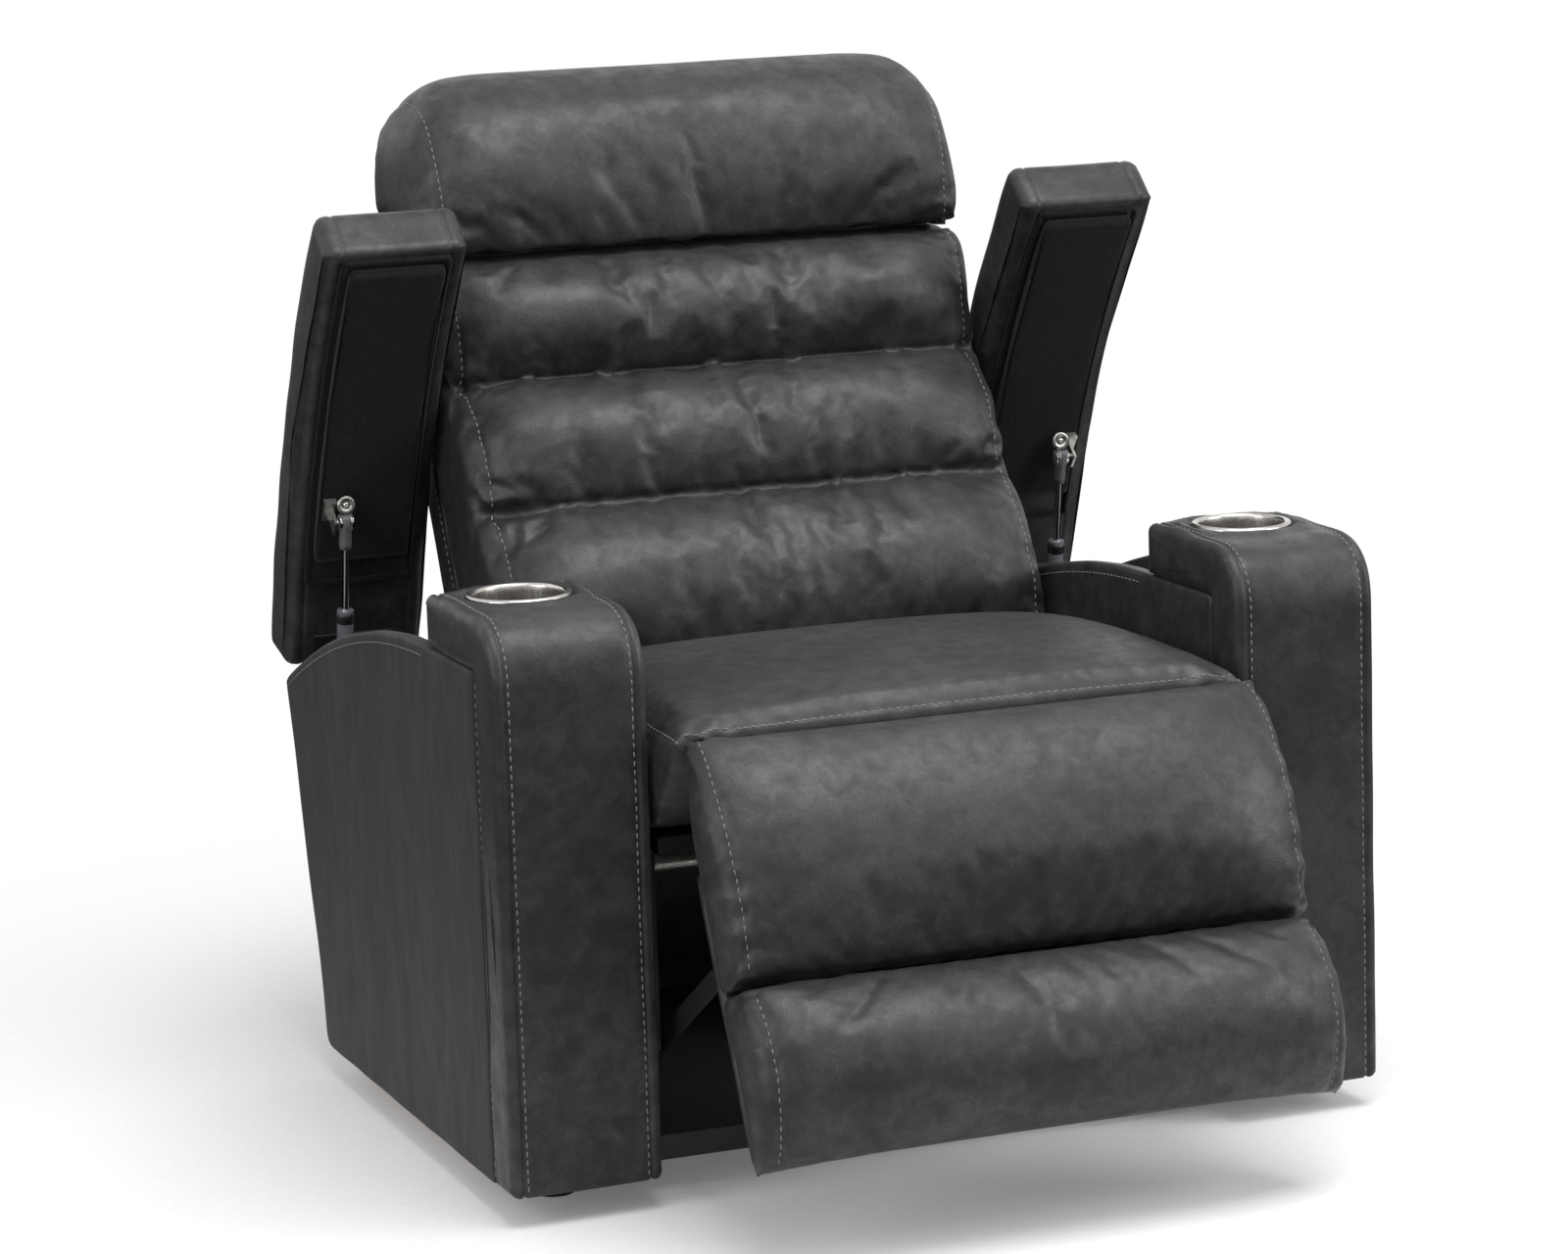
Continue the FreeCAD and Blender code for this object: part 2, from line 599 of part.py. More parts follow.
def make_lid_hinges(opened):
    """Fixed and moving hinge leaves, with the pin on the fixed one."""
    left = INSIDE + " + panel_thick + leaf_end_gap"
    wide = "(arm_width - 2 * panel_thick - 2 * leaf_end_gap)"
    third = wide + " / 3"
    pin_y = "arch_depth + hinge_back"
    pin_z = "arch_height - arch_drop + hinge_up"
    top = "arch_height - arch_drop - hinge_up - 2"
    slope = "((arch_depth - heel_depth) / (arch_height - arch_drop - heel_height))"
    edge = lambda z: "heel_depth + (%s - heel_height) * %s" % (z, slope)
    low = "(%s - leaf_length)" % top
    high = "(%s)" % top
    leaf = profile("fixed_leaf", [(edge(low) + " - leaf_thick", low), (edge(low), low),
                                  (edge(high), high), (edge(high) + " - leaf_thick", high)],
                   left, wide)
    neck = profile("fixed_neck", [(edge(high) + " - leaf_thick", high), (edge(high), high),
                                  (pin_y + " + 1", pin_z), (pin_y + " - 1", pin_z)],
                   left + " + " + third + " + side_clear", third + " - 2 * side_clear")
    knuckle = round_bar("fixed_knuckle", left + " + " + third + " + side_clear", pin_y, pin_z,
                        "hinge_radius", third + " - 2 * side_clear")
    pin = round_bar("hinge_pin", left, pin_y, pin_z, "hinge_pin_radius", wide)
    pair(fuse("fixed_hinge", leaf, neck, knuckle, pin), "lid_hinge_fixed")

    radius_text, radius = arch_circle()
    under = lambda y, off: "arch_height - %s + sqrt((%s + %s)^2 - (%s - post_depth)^2)" % (
        radius_text, radius_text, off, y)
    far = "(arch_depth - lid_rear_gap)"
    near = "(arch_depth - lid_rear_gap - leaf_length)"
    low = "(lid_gap - leaf_thick)"
    strip = profile("moving_leaf", [(near, under(near, low)), (near, under(near, "lid_gap")),
                                    (far, under(far, "lid_gap")), (far, under(far, low))], left, wide)
    pieces = [strip]
    for name, shift in (("inner", "0"), ("outer", "2 * " + third + " + side_clear")):
        at = left + " + " + shift
        span = third + " - side_clear"
        pieces.append(profile("moving_neck_" + name, [(far, under(far, low)), (far, under(far, "lid_gap")),
                                                      (pin_y, pin_z), (pin_y, pin_z + " - 3")], at, span))
        pieces.append(round_bar("moving_knuckle_" + name, at, pin_y, pin_z, "hinge_radius", span))
    bore = round_bar("moving_bore", left + " - 1", pin_y, pin_z, "hinge_pin_radius + run_clear", wide + " + 2")
    leaf = cut("moving_hinge", fuse("moving_parts", *pieces), bore)
    leaf.Placement = opened
    both_sides(leaf, "lid_hinge_moving")


def strut_geometry():
    """Lower stud, upper stud at rest, length between them and lean of the strut."""
    foot = rest_point("strut_foot_depth", "strut_foot_height")
    eye = lid_hub() + direction(value("strut_eye_angle - lid_open")) * value("strut_eye_reach")
    line = eye - foot
    lean = math.degrees(math.atan2(-line.y, line.z))
    return foot, eye, line.Length, FreeCAD.Placement(foot, FreeCAD.Rotation(X_AXIS, lean))


def make_struts(opened):
    """Gas strut of each arm with the studs that carry it."""
    foot, eye, length, stand = strut_geometry()
    upright = FreeCAD.Rotation()
    side = OUTSIDE + " - strut_side"
    near = side + " - strut_end_width / 2"
    span = str(length)
    zero = "0 - arm_front"
    tube = round_bar("strut_cylinder", side, zero, "strut_end_radius * 0.8", "strut_tube_radius",
                     "strut_tube_length - strut_end_radius * 0.8", upright)
    ring = round_bar("strut_foot_ring", near, zero, "0", "strut_end_radius", "strut_end_width")
    hole = round_bar("strut_foot_bore", near + " - 1", zero, "0", "strut_stud_radius + run_clear",
                     "strut_end_width + 2")
    hollow = round_bar("strut_hollow", side, zero, "strut_tube_length - strut_bore_depth",
                       "strut_rod_radius + run_clear", "strut_bore_depth + 1", upright)
    body = cut("strut_tube_cut", fuse("strut_tube_solid", tube, ring), fuse("strut_tube_holes", hole, hollow))
    body.Placement = stand
    both_sides(body, "strut_tube")
    rod = round_bar("strut_piston", side, zero, "strut_tube_length - strut_rod_inside", "strut_rod_radius",
                    span + " - strut_tube_length + strut_rod_inside", upright)
    socket = round_bar("strut_socket", near, zero, span, "strut_end_radius", "strut_end_width")
    body = fuse("strut_rod_solid", rod, socket)
    body.Placement = stand
    both_sides(body, "strut_rod")

    foot_y = "strut_foot_depth"
    foot_z = "strut_foot_height"
    plate = box("stud_plate", OUTSIDE + " - panel_thick - plate_thick", foot_y + " - stud_plate_back", foot_z + " - stud_plate_down",
                "plate_thick", "stud_plate_deep", "stud_plate_high")
    stud = round_bar("stud_pin", near, foot_y, foot_z, "strut_stud_radius",
                     "strut_side - panel_thick + strut_end_width / 2")
    pair(fuse("stud_solid", plate, stud), "strut_arm_studs")

    closed_eye = lid_hub() + direction(value("strut_eye_angle")) * value("strut_eye_reach")
    eye_y = "%.6f" % (closed_eye.y - value("arm_front"))
    eye_z = "%.6f" % closed_eye.z
    face = side + " + strut_end_width / 2 + side_clear"
    ear = box("bracket_ear", face + " + ear_out", eye_y + " - ear_half", eye_z + " - ear_half", "ear_thick",
              "2 * ear_half", "ear_high")
    base = box("bracket_base", face, eye_y + " - lug_half", eye_z + " + lug_up", "lug_thick", "2 * lug_half",
               "lug_high")
    ball = round_bar("bracket_ball", face, eye_y, eye_z, "strut_stud_radius", "ball_long")
    bracket = fuse("bracket_solid", ear, base, ball)
    bracket.Placement = opened
    trimmed = cut("bracket_trim", bracket, doc.getObject("liner_body"))
    top = cut("bracket_top", trimmed, doc.getObject("lid_body"))
    both_sides(top, "strut_lid_bracket")


PLATE_IN = "(" + INSIDE + " - 2 * plate_thick - track_wide - side_clear)"
CRANK_IN = "(" + PLATE_IN + " - link_step - link_thick)"
COUPLER_IN = "(" + CRANK_IN + " - link_step - link_thick)"
BRACKET_IN = "(" + COUPLER_IN + " - link_step - link_thick)"


def make_base():
    """Floor rails between the arms and the steel side frames that carry the seat track."""
    wide = "2 * (" + INSIDE + ")"
    rails = [box("floor_rail_" + name, "0 - (" + INSIDE + ")", depth, "rail_lift", wide, "rail_size", "rail_size")
             for name, depth in (("front", "rail_front"), ("rear", "rail_rear - rail_size"))]
    node(group("floor_rail_pair", *rails), "floor_rails")
    cover = box("rear_cover_box", "side_clear - (" + INSIDE + ")", "cover_depth", "cover_foot",
                "2 * (" + INSIDE + " - side_clear)", "cover_thick", "cover_top - cover_foot")
    node(cover, "rear_cover")
    inner = INSIDE + " - plate_thick - side_clear"
    dust = box("dust_cloth_box", "0 - (" + inner + ")", "rail_front", "rail_lift + rail_size",
               "2 * (" + inner + ")", "cover_depth - rail_front", "dust_thick")
    node(dust, "dust_cloth")
    start = INSIDE + " - plate_thick"
    plate = box("base_plate", start, "rail_front", "rail_lift + rail_size", "plate_thick",
                "rail_rear - rail_front", "track_height + track_deep - rail_lift - rail_size")
    track = box("base_track", start + " - track_wide", "rail_front", "track_height", "track_wide",
                "rail_rear - rail_front", "track_deep")
    both_sides(fuse("base_frame", plate, track), "base_side_frame")


def make_seat_frame():
    """Seat side plates with their shoes and pivot studs, cross rails and webbing."""
    plate = box("seat_plate", PLATE_IN, "seat_plate_front", "seat_plate_foot", "plate_thick",
                "seat_plate_rear - seat_plate_front", "seat_deck - seat_plate_foot")
    shoe_z = "track_height + track_deep + side_clear / 2"
    pieces = [plate]
    for name, depth in (("front", "seat_plate_front + 100"), ("rear", "seat_plate_rear - 70")):
        pieces.append(box("seat_shoe_" + name, PLATE_IN + " + plate_thick", depth, shoe_z,
                          "track_wide", "40", "seat_plate_foot + 12 - (" + shoe_z + ")"))
    stud_long = "link_step + link_thick"
    pieces.append(round_bar("stud_front_crank", CRANK_IN, "crank_depth", "crank_height", "pivot_radius",
                            stud_long))
    pieces.append(round_bar("stud_rear_crank", CRANK_IN, REAR_CRANK_Y, REAR_CRANK_Z, "pivot_radius", stud_long))
    pieces.append(round_bar("stud_back", "frame_half - frame_steel", "recline_depth", "recline_height",
                            "back_stud_radius", PLATE_IN + " - frame_half + frame_steel"))
    both_sides(fuse("seat_side", *pieces), "seat_side_plate")
    rails = [box("seat_rail_" + name, "0 - " + PLATE_IN + " - plate_thick", depth, "seat_deck",
                 "2 * (" + PLATE_IN + " + plate_thick)", "seat_rail_deep", "seat_rail_high")
             for name, depth in (("front", "seat_rail_front"), ("rear", "seat_rail_rear"))]
    node(group("seat_rail_pair", *rails), "seat_cross_rails")
    straps = [box("strap_%d" % at, "%d * webbing_pitch - webbing_wide / 2" % at, "seat_rail_front",
                  "seat_deck + seat_rail_high", "webbing_wide",
                  "seat_rail_rear + seat_rail_deep - seat_rail_front", "webbing_thick")
              for at in range(-2, 3)]
    node(group("strap_group", *straps), "seat_webbing")


REAR_CRANK_Y = "crank_depth + crank_space * cos(crank_space_tilt * 1deg)"
REAR_CRANK_Z = "crank_height - crank_space * sin(crank_space_tilt * 1deg)"


def link(name, ends, start, thick, bores=(), studs=()):
    """Make a flat link round the points of ends, with bores and with studs to the outside."""
    half = value("link_half")
    x = value(start)
    deep = value(thick)
    shape = None
    for here, there in zip(ends, ends[1:]):
        along = (there - here).normalize()
        side = FreeCAD.Vector(0, -along.z, along.y) * half
        corners = [here + side, there + side, there - side, here - side, here + side]
        bar = Part.Face(Part.makePolygon(corners)).extrude(FreeCAD.Vector(deep, 0, 0))
        shape = bar if shape is None else shape.fuse(bar)
    for end in ends:
        shape = shape.fuse(Part.makeCylinder(half, deep, end, X_AXIS))
    for point, radius in bores:
        shape = shape.cut(Part.makeCylinder(radius, deep, point, X_AXIS))
    for point, radius, length in studs:
        shape = shape.fuse(Part.makeCylinder(radius, length, point + X_AXIS * deep, X_AXIS))
    shape = shape.removeSplitter()
    shape.translate(FreeCAD.Vector(x, 0, 0))
    item = doc.addObject("Part::Feature", name)
    item.Shape = shape
    return item


def leg_points():
    """Pivots of the leg linkage in the rest pose."""
    front = rest_point("crank_depth", "crank_height")
    rear = rest_point(REAR_CRANK_Y, REAR_CRANK_Z)
    throw = direction(180 + value("crank_rest")) * value("crank_length")
    front_end = front + throw
    rear_end = rear + throw
    toe = front_end + FreeCAD.Vector(0, -value("coupler_reach"), value("coupler_rise"))
    return front, rear, front_end, rear_end, toe


def make_leg_linkage():
    """Parallel cranks, couplers, torsion tube with its lever, and the brackets of the leg rest."""
    front, rear, front_end, rear_end, toe = leg_points()
    bore = value("pivot_radius + run_clear")
    stud = value("pivot_radius")
    step = value("link_step + link_thick")
    crank = link("front_crank", (front, front_end), CRANK_IN, "link_thick", ((front, bore), (front_end, bore)))
    tube = round_bar("torsion_bar", "0 - " + CRANK_IN, "crank_depth", "crank_height", "tube_radius",
                     "2 * " + CRANK_IN)
    lever_end = front + direction(180 + value("lever_rest")) * value("lever_length")
    lever = link("lever_plate", (front, lever_end), "ram_rod_radius + side_clear", "link_thick")
    node(fuse("torsion_solid", tube, lever), "torsion_tube")
    pair(crank, "front_cranks")
    pair(link("rear_crank", (rear, rear_end), CRANK_IN, "link_thick", ((rear, bore), (rear_end, bore + 0.2))),
         "rear_cranks")
    pair(link("coupler", (rear_end, front_end, toe), COUPLER_IN, "link_thick", ((toe, bore),),
              ((front_end, stud, step), (rear_end, stud, step))), "leg_couplers")
    face = toe + direction(180 - value("rest_tilt")) * value("board_ahead")
    pair(link("leg_bracket", (toe, face), BRACKET_IN, "link_thick", (), ((toe, stud, step),)), "leg_brackets")
    trimmed = doc.getObject("leg_bracket")
    board = leg_board_shape()
    trimmed.Shape = trimmed.Shape.cut(board)
    item = doc.addObject("Part::Feature", "leg_board_form")
    item.Shape = board
    node(item, "leg_board")


def leg_placement():
    """Turn of the leg rest from upright under its pivot to the rest pose."""
    toe = leg_points()[4]
    return FreeCAD.Placement(toe, FreeCAD.Rotation(X_AXIS, -value("rest_tilt")))


def leg_board_shape():
    """Board of the leg rest in the rest pose."""
    half = value("board_half")
    ahead = value("board_ahead")
    thick = value("board_thick")
    high = value("board_up + board_down")
    corner = FreeCAD.Vector(-half, -ahead - thick, -value("board_down"))
    return Part.makeBox(2 * half, thick, high, corner).transformed(leg_placement().toMatrix())


def make_leg_pads():
    """Upper and lower pads of the leg rest, drawn upright and turned to the rest pose."""
    face = -value("board_ahead + board_thick")
    crease_y = face - value("pad_crease_out")
    crease_z = -value("pad_crease_down")
    half = value("pad_half")
    turn = leg_placement()

    def upper(share, fullness):
        drawn = (1 - fullness) * 14
        return [(crease_y + drawn, crease_z + 0.5, 26 + (value("pad_upper_bulge") - 26) * fullness),
                (face - value("pad_top_out"), value("pad_top_up"), 0),
                (face, value("board_up"), 0),
                (face, crease_z + 0.5, 0)]

    def lower(share, fullness):
        drawn = (1 - fullness) * 14
        return [(crease_y + drawn, crease_z - 0.5, 0),
                (face, crease_z - 0.5, 0),
                (face, -value("pad_toe_down"), 0),
                (face - value("pad_toe_out"), -value("pad_toe_down"),
                 36 + (value("pad_lower_bulge") - 36) * fullness)]

    soft("leg_pad_upper", stations_across(half, SHARES, upper), (), turn)
    soft("leg_pad_lower", stations_across(half, SHARES, lower), (), turn)


def make_seat_cushion():
    """Seat cushion with a crown and a front that slopes back under its seam."""
    front = value("arm_front - seat_seam_out")
    rear = value("arm_front + seat_rear_depth")
    sole = value("seat_deck + seat_rail_high + webbing_thick")
    toe = value("arm_front + seat_rail_front")

    def outline(share, fullness):
        rise = value("seat_crown_across") * fullness
        return [(front, value("seat_seam_height") + rise * 0.5, value("seat_crown") * (0.5 + 0.5 * fullness)),
                (rear, value("seat_rear_height") + rise, 0),
                (rear, sole, 0),
                (toe, sole, 0)]

    soft("seat_cushion", stations_across(value("cushion_half"), SHARES, outline))


def make_back():
    """Steel back plates, cross rails, outer back and the channelled cushion."""
    slope = "((frame_top_depth - frame_foot_depth) / (frame_top_height - frame_foot_height))"
    line = lambda z: "frame_foot_depth + (%s - frame_foot_height) * %s" % (z, slope)
    arm_low = "(crease_top_height + head_pivot_up - 6)"
    arm_tip = "crease_top_depth + head_pivot_back - 9"
    corners = [("recline_depth - 14", "recline_height - 16"), ("recline_depth - 14", "recline_height + 16"),
               (line("(recline_height + 16)"), "recline_height + 16"), (line(arm_low), arm_low),
               (arm_tip, arm_low), (arm_tip, arm_low + " + 12"), (line(arm_low) + " + frame_deep", arm_low + " + 12"),
               (line("(recline_height - 16)") + " + frame_deep", "recline_height - 16")]
    plate = profile("back_plate", corners, "frame_half - frame_steel", "frame_steel")
    hole = round_bar("back_pivot_bore", "frame_half - frame_steel - 1", "recline_depth", "recline_height",
                     "back_stud_radius + run_clear", "frame_steel + 2")
    stud = round_bar("head_stud", "frame_half - 2 * frame_steel - link_step", HEAD_Y, HEAD_Z, "pivot_radius",
                     "frame_steel + link_step + 1")
    both_sides(fuse("back_plate_solid", cut("back_plate_cut", plate, hole), stud), "back_side_plate")
    rails = []
    for name, at in (("low", "frame_foot_height + 60"), ("mid", "frame_foot_height + 250"),
                     ("high", "frame_top_height - 90")):
        rails.append(profile("back_rail_" + name,
                             [(line("(%s)" % at) + " + frame_deep - cross_deep", at),
                              (line("(%s + cross_high)" % at) + " + frame_deep - cross_deep", at + " + cross_high"),
                              (line("(%s + cross_high)" % at) + " + frame_deep", at + " + cross_high"),
                              (line("(%s)" % at) + " + frame_deep", at)],
                             "frame_steel - frame_half", "2 * (frame_half - frame_steel)"))
    node(group("back_rail_group", *rails), "back_cross_rails")
    top = "(" + arm_low + " + 20)"
    low = "(frame_foot_height + 10)"
    shell = profile("outer_back_body",
                    [(line(low) + " + frame_deep", low), (line(top) + " + frame_deep", top),
                     (line(top) + " + frame_deep + outer_back_thick", top),
                     (line(low) + " + frame_deep + outer_back_thick", low)],
                    "0 - outer_back_half", "2 * outer_back_half")
    node(shell, "outer_back")

    at = lambda depth, height: (value("arm_front + " + depth), value(height))
    frame_low = at(line("back_sole_height"), "back_sole_height")
    frame_high = at(line("crease_top_height"), "crease_top_height")

    def outline(share, fullness):
        drawn = (1 - fullness) * 12
        swell = 10 + (value("roll_swell") - 10) * fullness
        creases = [at("back_foot_depth", "back_foot_height"), at("crease_low_depth", "crease_low_height"),
                   at("crease_mid_depth", "crease_mid_height"), at("crease_top_depth", "crease_top_height")]
        corners = [(at("back_foot_depth", "back_sole_height")[0] + drawn, value("back_sole_height"), 0)]
        corners += [(y + drawn, z - drawn * 0.4, swell) for y, z in creases[:-1]]
        corners.append((creases[-1][0] + drawn, creases[-1][1], 0))
        return corners + [(frame_high[0], frame_high[1], 0), (frame_low[0], frame_low[1], 0)]

    soft("back_cushion", stations_across(value("back_half"), SHARES, outline))


HEAD_Y = "crease_top_depth + head_pivot_back"
HEAD_Z = "crease_top_height + head_pivot_up"


def make_headrest():
    """Hinged headrest: a board with two arms, and the pad that hides them."""
    half = value("frame_half - 2 * frame_steel - link_step")
    steel = value("frame_steel")
    pivot = rest_point(HEAD_Y, HEAD_Z)
    rear = value("arm_front + head_rear_depth - head_board_inset")
    low = value("head_rear_height + 5")
    high = value("head_nape_height - 25")
    thick = value("head_board_thick")
    board = Part.makeBox(2 * half, thick, high - low, FreeCAD.Vector(-half, rear - thick, low))
    corners = [(pivot.y - 6, pivot.z - 6), (pivot.y - 6, pivot.z + 7), (rear - thick, low + 40),
               (rear, low + 40), (rear, low), (rear - thick, low), (pivot.y + 14, pivot.z - 6)]
    points = [FreeCAD.Vector(half, y, z) for y, z in corners + corners[:1]]
    arm = Part.Face(Part.makePolygon(points)).extrude(FreeCAD.Vector(steel, 0, 0))
    bore = Part.makeCylinder(value("pivot_radius + run_clear"), steel, pivot + X_AXIS * half, X_AXIS)
    arm = arm.cut(bore)
    frame = board.fuse([arm, arm.mirror(FreeCAD.Vector(), X_AXIS)])
    item = doc.addObject("Part::Feature", "head_frame_form")
    item.Shape = frame
    node(item, "headrest_frame")

    at = lambda depth, height: (value("arm_front + " + depth), value(height))
    crease = at("crease_top_depth", "crease_top_height + head_gap")
    brow = at("head_brow_depth", "head_brow_height")
    nape = at("head_nape_depth", "head_nape_height")
    back = at("head_rear_depth", "head_rear_height")

    def outline(share, fullness):
        drop = value("head_corner") * (1 - fullness)
        drawn = (1 - fullness) * 12
        return [(crease[0] + drawn, crease[1], 12 + (value("head_swell") - 12) * fullness),
                (brow[0] + drawn, brow[1] - drop, 10 + (value("head_crown") - 10) * fullness),
                (nape[0], nape[1] - drop, 0),
                (back[0], back[1], 0),
                (back[0] - 25, back[1] - 12, 0)]

    gap = value("soft_clear")
    frame_x = value("frame_half - frame_steel") - gap
    sole = value("crease_top_height")
    slot = Part.makeBox(steel + 2 * gap, back[0] - pivot.y + 20, pivot.z + 11 - sole,
                        FreeCAD.Vector(frame_x, pivot.y - 15, sole))
    ring = Part.makeCylinder(value("pivot_radius") + gap, 2 * steel + 2 * gap,
                             FreeCAD.Vector(half - gap, pivot.y, pivot.z), X_AXIS)
    hollow = slot.fuse(ring)
    slots = [hollow, hollow.mirror(FreeCAD.Vector(), X_AXIS)]
    soft("headrest_pad", stations_across(value("back_half"), SHARES, outline), [frame] + slots)


def make_drive():
    """Motor and telescopic drive that turn the torsion tube."""
    front = leg_points()[0]
    lever_end = front + direction(180 + value("lever_rest")) * value("lever_length")
    axis_z = "%.6f" % lever_end.z
    tip = "%.6f" % (lever_end.y - value("arm_front"))
    along = FreeCAD.Rotation(X_AXIS, -90)
    housing = round_bar("motor_housing", "0", "motor_rear - motor_long", axis_z, "motor_radius",
                        "motor_long", along)
    tube = round_bar("ram_tube", "0", "ram_tube_front", axis_z, "ram_tube_radius",
                     "motor_rear - motor_long - ram_tube_front + 1", along)
    hanger = box("motor_hanger", "0 - 12", "seat_rail_rear", axis_z, "24", "14", "seat_deck - " + axis_z)
    tongue = box("motor_tongue", "0 - 12", "motor_rear - 20", axis_z + " - 8", "24",
                 "seat_rail_rear - motor_rear + 30", "16")
    hollow = round_bar("ram_hollow", "0", "ram_tube_front - 1", axis_z, "ram_rod_radius + run_clear",
                       "ram_rod_inside + 60", along)
    node(cut("motor_cut", fuse("motor_solid", housing, tube, hanger, tongue), hollow), "drive_motor")
    rod = round_bar("ram_rod", "0", tip, axis_z, "ram_rod_radius",
                    "ram_tube_front + ram_rod_inside - " + tip, along)
    node(rod, "drive_ram")


def make_controls():
    """Switch plate with two push buttons inside the left arm, and the power inlet behind."""
    face = "0 - (" + INSIDE + ")"
    turn = FreeCAD.Rotation(Y_AXIS, 90)
    hole_deep = "(button_inside + 2 * button_travel)"
    holes = []
    for name, shift in (("open", "0 - button_pitch / 2"), ("close", "button_pitch / 2")):
        at = "switch_depth + " + shift
        button = round_bar("button_bar_" + name, face + " - button_inside", at, "switch_height",
                           "button_radius", "button_inside + switch_thick + button_out", turn)
        node(button, "button_" + name)
        holes.append(round_bar("button_hole_" + name, face + " - " + hole_deep, at, "switch_height",
                               "button_radius + side_clear", hole_deep + " + switch_thick + 1", turn))
    plate = box("switch_box", face, "switch_depth - switch_long / 2", "switch_height - switch_high / 2",
                "switch_thick", "switch_long", "switch_high")
    wells = fuse("button_holes", *holes)
    node(cut("switch_cut", plate, wells), "switch_plate")
    post = nodes.pop("front_post_left")
    node(cut("post_left_cut", post, wells), "front_post_left")
    post.Label = "front_post_left_plain"
    slope = "((arch_depth - heel_depth) / (arch_height - arch_drop - heel_height))"
    depth = "heel_depth - leaf_thick + (150 - heel_height) * " + slope
    inlet = box("inlet_box", OUTSIDE + " - arm_width / 2 - inlet_wide / 2", depth + " - 2", "150",
                "inlet_wide", "inlet_deep", "inlet_high")
    socket = box("inlet_socket", OUTSIDE + " - arm_width / 2 - inlet_wide / 2 + 4", depth + " + 4", "154",
                 "inlet_wide - 8", "inlet_deep", "inlet_high - 8")
    body = cut("inlet_cut", inlet, socket)
    node(cut("inlet_trim", body, doc.getObject("rear_board_body")), "power_inlet")


def main():
    """Build every assembly, test the document and write one file for each sub-part."""
    make_arm_shell()
    make_cups()
    make_feet()
    opened = make_lids()
    make_lid_hinges(opened)
    make_struts(opened)
    make_base()
    make_seat_frame()
    make_leg_linkage()
    make_leg_pads()
    make_seat_cushion()
    make_back()
    make_headrest()
    make_drive()
    make_controls()
    doc.recompute()
    for item in doc.Objects:
        if {"Invalid", "Error"} & set(item.State):
            raise RuntimeError("failed object: " + item.Label)
    os.makedirs("parts", exist_ok=True)
    whole = FreeCAD.BoundBox()
    for label, item in nodes.items():
        shape = item.Shape
        if shape.isNull() or not shape.isValid():
            raise RuntimeError("bad shape: " + label)
        shape.exportStep(os.path.join("parts", label + ".step"))
        whole.add(shape.optimalBoundingBox(False))
        print(label, len(shape.Solids), round(shape.Volume / 1000, 1))
    print(len(nodes), "sub-parts, box", [round(edge, 1) for edge in (
        whole.XMin, whole.XMax, whole.YMin, whole.YMax, whole.ZMin, whole.ZMax)])


main()
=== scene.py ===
import logging
import math
from collections.abc import Callable
from dataclasses import dataclass, field
from enum import Enum
from functools import cached_property

import bmesh
import bpy
import numpy as np
from mathutils import Matrix, Vector
from mathutils.bvhtree import BVHTree


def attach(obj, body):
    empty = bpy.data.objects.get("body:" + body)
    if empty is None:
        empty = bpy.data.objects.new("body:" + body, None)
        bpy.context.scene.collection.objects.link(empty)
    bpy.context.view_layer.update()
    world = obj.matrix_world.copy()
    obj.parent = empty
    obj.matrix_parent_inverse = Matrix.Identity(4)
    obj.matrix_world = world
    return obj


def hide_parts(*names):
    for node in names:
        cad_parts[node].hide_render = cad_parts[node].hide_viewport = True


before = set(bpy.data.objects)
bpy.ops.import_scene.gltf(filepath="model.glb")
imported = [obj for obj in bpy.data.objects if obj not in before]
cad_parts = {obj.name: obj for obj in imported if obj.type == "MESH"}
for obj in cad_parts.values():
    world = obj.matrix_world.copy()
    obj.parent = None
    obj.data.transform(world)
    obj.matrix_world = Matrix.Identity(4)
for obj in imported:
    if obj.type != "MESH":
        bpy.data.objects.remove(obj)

# Looks of a single power cinema recliner: wide arms with cup holders and open storage lids,
# a channelled back with a separate headrest, and a linked leg rest that stands part out.
# Depths run backwards from the front face of the arms. All lengths are in metres.

LOG = logging.getLogger("recliner")
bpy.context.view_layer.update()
Array = np.ndarray
Material = bpy.types.Material
Piece = bpy.types.Object
Socket = bpy.types.NodeSocket
Pair = tuple[float, float]
Triple = tuple[float, float, float]

ARM_FRONT = -0.2966
ARM_INNER = 0.3145
ARM_OUTER = 0.4695
PANEL_THICK = 0.018
POST_DEEP = 0.209
ARCH_TOP = 0.540
ARCH_END = (0.735, 0.418)
ARCH_FALL = ARCH_TOP - ARCH_END[1]
ARCH_RADIUS = ((ARCH_END[0] - POST_DEEP) ** 2 + ARCH_FALL ** 2) / (2 * ARCH_FALL)
BACK_FOOT = (0.545, 0.330)
BACK_SLOPE = 0.270 / 0.550
# fullness of a plain side, and how far the height of a fold lies from its mean
FULLNESS = 0.62
FOLD_MEAN = 0.4
# width over which the front of a gathered pad fades into its plain back
GATHER_FADE = 0.05


class Side(Enum):
    """The two arms, named as the viewer sees them."""

    RIGHT = 1.0
    LEFT = -1.0

    @property
    def word(self) -> str:
        """Give the ending of this side's node names."""
        return self.name.lower()

    def span(self, near: float, far: float) -> Pair:
        """Give the low and high X of a piece.

        Args:
            near: distance of its inner face from the centre line.
            far: distance of its outer face.

        Returns:
            Low and high X.
        """
        return (near, far) if self is Side.RIGHT else (-far, -near)


class Slot(Enum):
    """Material slots of the record, passed along with the pieces but not read."""

    LEATHER = "leather"
    LINING = "lining_cloth"
    STEEL = "stainless"
    ZINC = "zinc"
    STRUT = "strut_grey"
    PLASTIC = "black_plastic"


# ---- finishes


